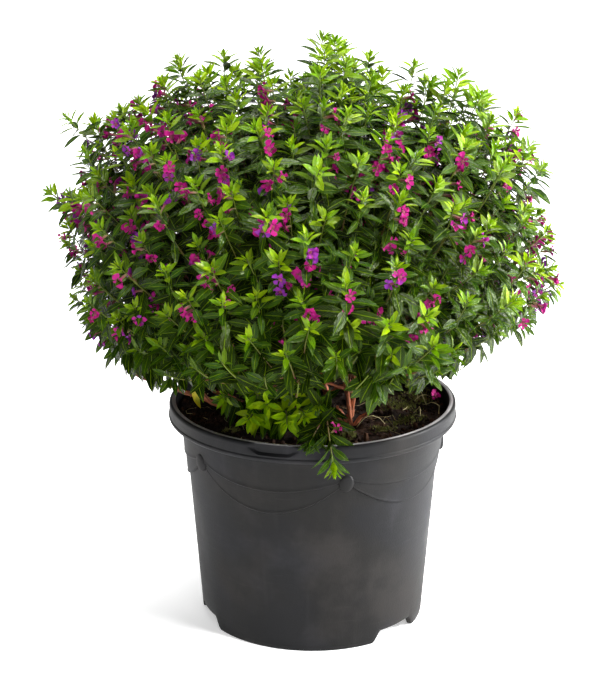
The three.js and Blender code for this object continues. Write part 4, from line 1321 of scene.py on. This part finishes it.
def flowers(foot, faced, size, item, petal_length):
    """Flowers of six petals round the mouth of a slender tube that starts at the foot. The two upper petals
    are larger."""
    across, over = sideways(faced)
    mouth = foot + faced * (TUBE_LENGTH * size)[:, None]
    parts = []
    for petal in range(PETALS):
        pick = item * 7.3 + petal
        turn = petal * np.pi / 3 + np.pi / 6 + 0.25 * (draw(pick, 21) - 0.5)
        outward = across * np.cos(turn)[:, None] + over * np.sin(turn)[:, None]
        open_by = np.radians(64 + 56 * (draw(pick, 22) - 0.5))[:, None]
        way = faced * np.cos(open_by) + outward * np.sin(open_by)
        upper = faced * np.sin(open_by) - outward * np.cos(open_by)
        larger = 1.12 if petal in (1, 2) else 0.95
        long = petal_length * size * larger * (0.78 + 0.44 * draw(pick, 23))
        wide = long * (0.52 + 0.3 * draw(pick, 24))
        tone = 0.85 * draw(item, 26) + 0.15 * draw(pick, 27)
        parts.append(petals(mouth + outward * 0.5, way, upper, long, wide, draw(pick, 25), tone))
    steps = np.linspace(0, 1, len(TUBE_RADII))[None, :, None]
    path = foot[:, None] + (mouth + faced * 0.5 - foot)[:, None] * steps
    return joined(parts), tubes(path, TUBE_RADII[None] * size[:, None], 5, draw(item, 26))


def flower_places(shoots, flowering):
    """Where the flowers sit: up to five on a flowering shoot, each at a leaf pair below the tip and turned
    outwards. Slow noise over the bush makes some parts of it richer in flowers than others."""
    index, size, stray = (shoots[key][:, None] for key in ("index", "size", "stray"))
    k = np.arange(MOST_FLOWERS)[None]
    item = index * 5.3 + k
    x, y, z = shoots["path"][:, -1].T[:, :, None]
    rich = value_noise(x + 0.6 * y, z - 0.4 * y, 52, 39)
    seen = SEEN_UP * z + SEEN_BACK * y
    likely = flowering + 0.5 * rich - 0.9 * smooth(206, 170, seen) - 0.8 * smooth(335, 360, seen)
    number = np.where(draw(index, 31) < likely, 1.3 + 3.6 * draw(index, 32) ** 1.2, 0)
    back = (7 + 6.5 * k + 4 * draw(item, 33)) * size + 5 * stray
    centre, axis = points_on(shoots["path"], back)
    out = unit(centre - MIDDLE)
    out = out - axis * np.sum(out * axis, -1, keepdims=True)
    side = toward(0.6 * unit(out + 1e-6) + 1.4 * jitter(item, 34), axis)
    faced = unit(axis * (0.35 + 0.3 * draw(item, 37))[..., None] + side)
    mouth = centre + 7 * faced
    chosen = (k < np.maximum(number, 4 * stray)) & (mouth[..., 2] > hem(mouth) + HEM_CLEAR)
    return centre[chosen], faced[chosen], (0.8 + 0.35 * draw(item, 38))[chosen], (index + 0.13 * k)[chosen]


# Flowers that stand alone: foot on a stem or on the soil, the way it faces, and its number
LONE_FLOWERS = (
    ((11.5, -94, 159.5), (0.55, -0.35, 0.6), 9501),
    ((-15.2, -66, 181), (0.6, -0.5, 0.3), 9502),
    ((80, 13, 143.5), (0.35, -0.6, 0.7), 9503),
)


# Stems


def spline(knots, steps):
    """A smooth curve through knots: cubics that pass each knot along the chord between its neighbours."""
    knots = np.asarray(knots, dtype=float)
    padded = np.concatenate([[2 * knots[0] - knots[1]], knots, [2 * knots[-1] - knots[-2]]])
    t = np.linspace(0, len(knots) - 1 - 1e-9, steps)
    k = t.astype(int)
    t = (t - k)[:, None]
    a, b, c, d = padded[k], padded[k + 1], padded[k + 2], padded[k + 3]
    return 0.5 * (2 * b + (c - a) * t + (2 * a - 5 * b + 4 * c - d) * t**2 + (3 * b - a - 3 * c + d) * t**3)


def crown_stems(crown, roots):
    """Knots and end radii of a crown's trunk, limbs and twigs, laid out as the solids' are: the branch
    roots are shared out by their turn round the trunk among four limbs, and the highest of each lot ends
    its limb."""
    _, x, y, _, _ = crown
    inside = np.array([x, y, CROWN_FORK - 6])
    trunk = [(x, y, SOIL_TOP - 12), (x, y, SOIL_TOP - 2), (x, y, SOIL_TOP + 6), (x, y, CROWN_FORK)]
    stems = [(trunk, 0.55 * CROWN_RADIUS, 0.4 * CROWN_RADIUS)]
    order = np.argsort(np.arctan2(roots[:, 1] - y, roots[:, 0] - x), kind="stable")
    turned = roots[order]
    share = len(turned) / LIMBS
    for k in range(LIMBS):
        low, high = math.floor(k * share + 0.5), math.floor((k + 1) * share + 0.5)
        group = turned[low:high]
        group = group[np.argsort(group[:, 2], kind="stable")]
        last, group = group[-1], group[:-1]
        spine = last - inside
        knee = inside + np.array([0.6, 0.6, 0.66]) * spine
        stems.append(([inside, knee, last], 0.62 * LIMB_RADIUS, 0.75 * TWIG_RADIUS))
        for j, root in enumerate(group):
            start = inside + (knee - inside) * (j + 1) / (len(group) + 0.6)
            bend = (start + root) / 2 + np.array([0, 0, 0.06]) * np.linalg.norm(root - start)
            stems.append(([start, bend, root], 0.7 * TWIG_RADIUS, 0.6 * TWIG_RADIUS))
    return stems


def stem_mesh(stems, steps, sides, item):
    """Tubes through each stem's knots, thinner towards the end, a little bent and uneven in thickness."""
    knots, start, end = zip(*stems)
    paths = np.stack([spline(each, steps) for each in knots])
    start, end = np.array(start)[:, None], np.array(end)[:, None]
    t = np.linspace(0, 1, steps)[None]
    number = np.arange(len(stems))[:, None] + item
    wander = 0.9 * np.sin(np.pi * t) * np.minimum(start, 2.5)
    for axis in range(3):
        paths[..., axis] += wander * np.sin(t * (7 + 3 * axis) + 6.3 * draw(number, 50 + axis)) * 0.5
    radii = start + (end - start) * t
    radii = radii * (1 + 0.09 * np.sin(t * 23 + 6.3 * draw(number, 54)) + 0.06 * np.sin(t * 51 + number))
    return tubes(paths, radii, sides, draw(number[:, 0], 55))


def branch_roots(crown, directions):
    """Where the leafy branches of a crown's sector begin."""
    roots = along(directions, BRANCH_START)
    turn = np.degrees(np.arctan2(roots[:, 1] - ORIGIN[1], roots[:, 0] - ORIGIN[0]))
    return roots[np.mod(turn - crown[3] + 720, 360) < crown[4] - crown[3]]


# Low stems seen under the bush, of each crown: knots and radii
LOW_STEMS = {
    "woody_crown_right": (
        ([(25, -29, 139), (24.4, -30, 148), (23.6, -31, 160), (22.6, -30, 173), (25, -24, 188)], 1.45, 1.1),
        ([(26, -29, 140), (31.5, -31, 146.5), (37.5, -33, 152.5), (43, -33, 160)], 1.4, 1.0),
        ([(24, -28, 142), (19.5, -27, 147), (16, -26, 153)], 1.6, 0.9),
    ),
    "woody_crown_back": (([(8, 34, 140), (20, 30, 146), (36, 24, 156)], 2.0, 1.1),),
    "woody_crown_left": (
        ([(-34, -10, 139), (-46, -14, 143), (-59, -17, 148), (-70, -20, 158), (-79, -24, 173)], 2.3, 1.3),
        ([(-36, -2, 141), (-52, 6, 145), (-66, 10, 152), (-84, 12, 168)], 2.0, 1.1),
        ([(-60, -14, 149), (-78, -10, 155), (-96, -6, 161), (-108, -9, 165), (-121, -14, 174)], 1.9, 1.1),
    ),
}
THICK = 1.8  # radius from which a stem is made with more sides


# Low sprigs: the knots of their stems, the size of their leaves, how much older and darker these are,
# with painted shade above 0 and painted light below it, how much they droop, and the share of the stem
# that carries them
HANGING_MAIN = [(21.9, -25.9, 141), (8, -52, 160), (9, -84, 164), (11.5, -100, 151), (13.5, -110, 140)]
SPRIGS = {
    "low_sprig_hanging": (
        (HANGING_MAIN, 1.1, -0.1, 0.0, 0.5),
        ([(31, -76, 236), (34, -102, 230), (38, -120, 217), (38.5, -126, 196)], 1.1, 0.0, 1.0, LEAFY),
        ([(8.5, -68, 162), (3, -88, 160), (-3, -99, 152)], 0.95, 0.3, 0.0, LEAFY),
        ([(8, -52, 160), (5, -66, 170), (4, -78, 172)], 1.0, 0.2, 0.3, LEAFY),
    ),
    "low_sprig_front": (
        ([(-31.7, -6.1, 141), (-22, -34, 153), (-17, -64, 163), (-16, -80, 160)], 1.15, -0.2, 0.0, LEAFY),
        ([(-22, -34, 153), (-34, -64, 156)], 1.0, 0.1, 0.0, LEAFY),
        ([(-22, -34, 153), (-32, -52, 167), (-38, -63, 177)], 1.1, 0.0, 0.0, LEAFY),
        ([(-20, -46, 158), (-17, -58, 172), (-15, -68, 184)], 1.1, -0.1, 0.0, LEAFY),
        ([(-33, -10, 143), (-45, -30, 158), (-58, -50, 168)], 1.1, 0.1, 0.2, LEAFY),
        ([(-22, -34, 153), (-36, -58, 160), (-41, -71, 159)], 1.0, -0.35, 0.0, 0.6),
        ([(-20, -46, 158), (-9, -66, 166), (-4, -79, 164)], 1.0, -0.3, 0.0, 0.6),
        ([(-22, -34, 153), (-27, -58, 166), (-29, -72, 170)], 1.0, -0.3, 0.0, 0.6),
    ),
}


def sprig_shoots(name):
    """The sprigs of a name as shoots."""
    knots, size, age_and_painted_shade, droop, leafy = zip(*SPRIGS[name])
    index = 9000 + 100 * sorted(SPRIGS).index(name) + np.arange(len(knots))
    return {
        "index": index,
        "path": np.stack([spline(each, PATH_STEPS) for each in knots]),
        "size": np.array(size),
        "turn": draw(index, 7) * 2 * np.pi,
        "age_and_painted_shade": np.array(age_and_painted_shade),
        "droop": np.array(droop),
        "leafy": np.array(leafy),
        "stray": np.zeros(len(knots)),
        "free": np.ones(len(knots), dtype=bool),
    }


def shoot_stems(shoots, thick):
    """Tubes along the shoots, thinner towards the tip, with their age: 1 at the foot and 0 at the tip."""
    paths = shoots["path"][:, ::3]
    t = np.linspace(0, 1, paths.shape[1])[None]
    radii = (shoots["size"] * (1 + 0.5 * shoots["stray"]))[:, None] * thick * (1 - 0.55 * t)
    points, faces, _, uv = tubes(paths, radii, 5)
    age = np.append(np.repeat(1 - t, 5), [1, 0])
    return points, faces, {"age": np.tile(age, len(paths))}, uv


def branch_axes(directions):
    """Stems of the leafy branches, from the crowns' twigs outwards: knots and end radii."""
    knots = np.stack([along(directions, share) for share in BRANCH_SHARES], 1)
    return [(each, 1.25, 0.8) for each in knots]


def picked(shoots, chosen):
    """The chosen ones of the shoots."""
    return {key: values[chosen] for key, values in shoots.items()}


# Operators


SIDES = ("right", "back", "left", "front")


def side_of(directions):
    """0 to 3 for directions that lean to the right, back, left and front."""
    turn = np.degrees(np.arctan2(directions[:, 1], directions[:, 0]))
    return np.floor(np.mod(turn + 45, 360) / 90).astype(int)


class CUPHEA_OT_pot(bpy.types.Operator):
    """Makes the pot: its wall with the swags, bosses, rim and feet, and its floor with the drain holes"""

    bl_idname = "cuphea.pot"
    bl_label = "Pot"

    def execute(self, context):
        s = context.scene.cuphea_pot
        material = plastic_finish(s)
        ledge = s.ledge * 1000
        rings = round_rings(*pot_rows(np.arange(s.columns) * 360 / s.columns, ledge))
        wall = unmapped(rings.reshape(-1, 3), [ring_quads(*rings.shape[:2], closed=True)])
        knobs = [knob(SWAG_TURN + 360 * i / SWAGS, 1.5 * ledge) for i in range(SWAGS)]
        put_part("pot_wall", joined([wall, *knobs]), material, "plastic", "pot", sharp=38)
        close_rim(put_part("pot_floor", pot_floor(), material, "plastic", "pot", sharp=30).data)
        return {"FINISHED"}


def close_rim(mesh):
    """Merges the plate's wedges and closes its outer edge."""
    shape = bmesh.new()
    shape.from_mesh(mesh)
    bmesh.ops.remove_doubles(shape, verts=shape.verts, dist=1e-6)
    bmesh.ops.bridge_loops(shape, edges=[edge for edge in shape.edges if edge.is_boundary])
    bmesh.ops.recalc_face_normals(shape, faces=shape.faces)
    shape.to_mesh(mesh)
    shape.free()


class CUPHEA_OT_soil(bpy.types.Operator):
    """Makes the potting soil with its lumps, and the crumbs and fibres on it"""

    bl_idname = "cuphea.soil"
    bl_label = "Soil"

    def execute(self, context):
        s = context.scene.cuphea_soil
        material = soil_finish(s)
        put_part("soil_body", soil_body(), material, "soil", "soil", sharp=0)
        put_part("soil_crumbs", crumbs(s.crumbs), material, "soil", "soil", sharp=0)
        put_part("soil_fibres", joined([fibres(s.fibres), pale_roots()]), fibre_finish(), "soil", "soil")
        return {"FINISHED"}


class CUPHEA_OT_moss(bpy.types.Operator):
    """Makes the moss on the soil, the pod that lies on it and the withered leaf over it"""

    bl_idname = "cuphea.moss"
    bl_label = "Moss and loose things"

    def execute(self, context):
        put_part("moss", moss(), moss_finish(context.scene.cuphea_soil), "leaf", "soil")
        put_part("withered_leaf", withered_leaf(), yellow_leaf_finish(), "leaf")
        put_part("seed_pod", seed_pod(), pod_finish(), "leaf")
        return {"FINISHED"}


class CUPHEA_OT_crowns(bpy.types.Operator):
    """Makes the three woody crowns and the low stems, with bark"""

    bl_idname = "cuphea.crowns"
    bl_label = "Woody crowns"

    def execute(self, context):
        material = bark_finish(context.scene.cuphea_stems)
        directions = spread(BRANCHES, BRANCH_TURN)
        for number, crown in enumerate(CROWNS):
            name = crown[0]
            stems = [*crown_stems(crown, branch_roots(crown, directions)), *LOW_STEMS[name]]
            thick = [stem for stem in stems if stem[1] > THICK]
            thin = [stem for stem in stems if stem[1] <= THICK]
            parts = [stem_mesh(thick, 26, 12, 100 * number), stem_mesh(thin, 18, 8, 100 * number + 50)]
            put_part(name.replace("woody_crown", "bark"), joined(parts), material, "bark", name)
        return {"FINISHED"}


class CUPHEA_OT_shoots(bpy.types.Operator):
    """Makes the young stems that carry the leaves"""

    bl_idname = "cuphea.shoots"
    bl_label = "Shoots"

    def execute(self, context):
        s = context.scene
        material = stem_finish(s.cuphea_stems)
        shoots = shoot_layout(s.cuphea_leaves.gap * 1000)
        branches = spread(BRANCHES, BRANCH_TURN)
        sides = side_of(branches[shoots["own"]])
        thick = s.cuphea_stems.width * 500
        points, faces, _, uv = stem_mesh(branch_axes(branches), 12, 6, 700)
        axes = (points, faces, {"age": np.ones(len(points))}, uv)
        put_part("branch_stems", axes, material, "bark", "leafy_branch_01")
        for k, side in enumerate(SIDES):
            part = shoot_stems(picked(shoots, sides == k), thick)
            put_part(f"shoots_{side}", part, material, "bark", "leafy_branch_01")
        for name in SPRIGS:
            part = shoot_stems(sprig_shoots(name), thick)
            put_part(name.replace("low_sprig", "sprig_stem"), part, material, "bark", name)
        return {"FINISHED"}


class CUPHEA_OT_leaves(bpy.types.Operator):
    """Makes the leaves, in pairs along the shoots, in four pieces round the bush and on the low sprigs"""

    bl_idname = "cuphea.leaves"
    bl_label = "Leaves"

    def execute(self, context):
        s = context.scene.cuphea_leaves
        material = leaf_finish(s)
        shoots = shoot_layout(s.gap * 1000)
        sides = side_of(spread(BRANCHES, BRANCH_TURN))
        scale = s.length * 1000 / PAIR_LENGTH.max()
        for k, side in enumerate(SIDES):
            part = leaf_pairs(picked(shoots, sides[shoots["own"]] == k), scale, s.width)
            nodes = [f"leafy_branch_{own + 1:02d}" for own in np.flatnonzero(sides == k)]
            put_part(f"leaves_{side}", part, material, "leaf", *nodes)
        for name in SPRIGS:
            shoots = sprig_shoots(name)
            parts = [leaf_pairs(shoots, scale, s.width)]
            if name == "low_sprig_hanging":
                parts.append(hanging_fan(shoots["path"][1], scale, s.width))
            put_part(name.replace("low_sprig", "sprig_leaves"), joined(parts), material, "leaf", name)
        return {"FINISHED"}


class CUPHEA_OT_flowers(bpy.types.Operator):
    """Makes the flowers below the shoots' tips: petals and tubes"""

    bl_idname = "cuphea.flowers"
    bl_label = "Flowers"

    def execute(self, context):
        s = context.scene.cuphea_flowers
        shoots = shoot_layout(context.scene.cuphea_leaves.gap * 1000)
        lone_foot, lone_faced, lone_item = (np.array(values, dtype=float) for values in zip(*LONE_FLOWERS))
        lone = (lone_foot, unit(lone_faced), np.full(len(lone_foot), 0.8), lone_item)
        places = [np.concatenate(pair) for pair in zip(flower_places(shoots, s.flowering), lone)]
        heads, necks = flowers(*places, s.petal * 1000)
        sprays = [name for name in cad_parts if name.startswith("flower_spray")]
        put_part("petals", heads, petal_finish(s), "petal", *sprays)
        put_part("flower_tubes", necks, calyx_finish(s), "petal", *sprays)
        return {"FINISHED"}


# Lamps: name, place in metres, width and share of the key light's power
LAMPS = (
    ("key", (1.15, -0.95, 1.9), 0.34, 1.0),
    ("side", (1.6, 0.2, 0.6), 0.7, 0.85),
    ("top", (-0.3, 0.9, 2.4), 1.2, 0.7),
    ("front", (0.5, -1.9, 0.75), 0.8, 0.1),
)
FLOOR_HALF = 6000.0
SENSOR = 36
LAMP_AIM = Vector((0, 0, 0.2))


def floor_finish(s):
    """The plain pale floor, which glows with painted light of its own, less round the pot, where its shadow
    lies.
    """
    f = Finish("floor", Roughness=0.9)
    colour = f.mix(f.ramp(f.noise(f.place(), 3, 2), 0.3, 0.7, 0, 0.04), s.floor, (0.8, 0.8, 0.8))
    # Painted light: the floor glows, from 0.47 at the pot to 0.93 a metre out.
    glow = f.ramp(f.from_axis(), 0.1, 1.1, 0.47, 0.93)
    return f.set(Base_Color=colour, Emission_Color=(1, 1, 1), Emission_Strength=glow)


def studio_light(fill):
    """An even white light all round, and a white backdrop for the camera."""
    world = bpy.data.worlds.new("studio")
    world.use_nodes = True
    tree = world.node_tree
    sky, backdrop = tree.nodes["Background"], tree.nodes.new("ShaderNodeBackground")
    sky.inputs["Strength"].default_value = fill
    for each in (sky, backdrop):
        each.inputs["Color"].default_value = (1, 1, 1, 1)
    seen, either = tree.nodes.new("ShaderNodeLightPath"), tree.nodes.new("ShaderNodeMixShader")
    tree.links.new(seen.outputs["Is Camera Ray"], either.inputs[0])
    tree.links.new(sky.outputs[0], either.inputs[1])
    tree.links.new(backdrop.outputs[0], either.inputs[2])
    tree.links.new(either.outputs[0], tree.nodes["World Output"].inputs["Surface"])
    return world


class CUPHEA_OT_stage(bpy.types.Operator):
    """Makes the plain floor, the soft light and the camera"""

    bl_idname = "cuphea.stage"
    bl_label = "Floor, light and camera"

    def execute(self, context):
        scene = context.scene
        s = scene.cuphea_stage
        corners = FLOOR_HALF * np.array([(-1, -1, 0), (1, -1, 0), (1, 1, 0), (-1, 1, 0)])
        floor = put_mesh("floor", corners, np.array([(0, 1, 2, 3)]), floor_finish(s), sharp=0)
        scene.world = studio_light(s.fill)
        scene.view_settings.view_transform = "Standard"
        for name, where, size, share in LAMPS:
            light = bpy.data.lights.new(name, "AREA")
            light.shape, light.size, light.energy = "DISK", size, s.key * share
            lamp = bpy.data.objects.new(name, light)
            lamp.location = where
            lamp.rotation_euler = (LAMP_AIM - Vector(where)).to_track_quat("-Z", "Y").to_euler()
            scene.collection.objects.link(lamp)
        camera = bpy.data.objects.new("camera", bpy.data.cameras.new("camera"))
        camera.data.sensor_width = camera.data.sensor_height = SENSOR
        camera.data.lens = s.lens
        camera.location = (0, -s.distance, s.height)
        camera.rotation_euler = (math.pi / 2 - s.pitch, 0, s.yaw)
        scene.collection.objects.link(camera)
        scene.camera = camera
        return {"FINISHED"}


OPERATORS = (
    CUPHEA_OT_stage,
    CUPHEA_OT_pot,
    CUPHEA_OT_soil,
    CUPHEA_OT_moss,
    CUPHEA_OT_crowns,
    CUPHEA_OT_shoots,
    CUPHEA_OT_leaves,
    CUPHEA_OT_flowers,
)
SETTINGS = {
    "cuphea_stage": StageSettings,
    "cuphea_pot": PotSettings,
    "cuphea_soil": SoilSettings,
    "cuphea_stems": StemSettings,
    "cuphea_leaves": LeafSettings,
    "cuphea_flowers": FlowerSettings,
}


class CUPHEA_PT_plant(bpy.types.Panel):
    """The pieces of the potted cuphea and their settings"""

    bl_idname = "CUPHEA_PT_plant"
    bl_label = "Potted cuphea"
    bl_space_type = "VIEW_3D"
    bl_region_type = "UI"
    bl_category = "Cuphea"

    def draw(self, context):
        for name, group in SETTINGS.items():
            box = self.layout.box()
            box.label(text=group.__doc__)
            for key in group.__annotations__:
                box.prop(getattr(context.scene, name), key)
        for operator in OPERATORS:
            self.layout.operator(operator.bl_idname)


CLASSES = (*SETTINGS.values(), *OPERATORS, CUPHEA_PT_plant)


def register():
    """Registers the classes and hangs the settings on the scene."""
    for made in CLASSES:
        bpy.utils.register_class(made)
    for name, group in SETTINGS.items():
        setattr(bpy.types.Scene, name, PointerProperty(type=group))


def unregister():
    """Takes the settings and the classes away again."""
    for name in SETTINGS:
        delattr(bpy.types.Scene, name)
    for made in reversed(CLASSES):
        bpy.utils.unregister_class(made)


def main():
    """Makes every piece in order."""
    register()
    for operator in OPERATORS:
        getattr(bpy.ops.cuphea, operator.bl_idname.split(".")[1])()


if __name__ == "__main__":
    main()
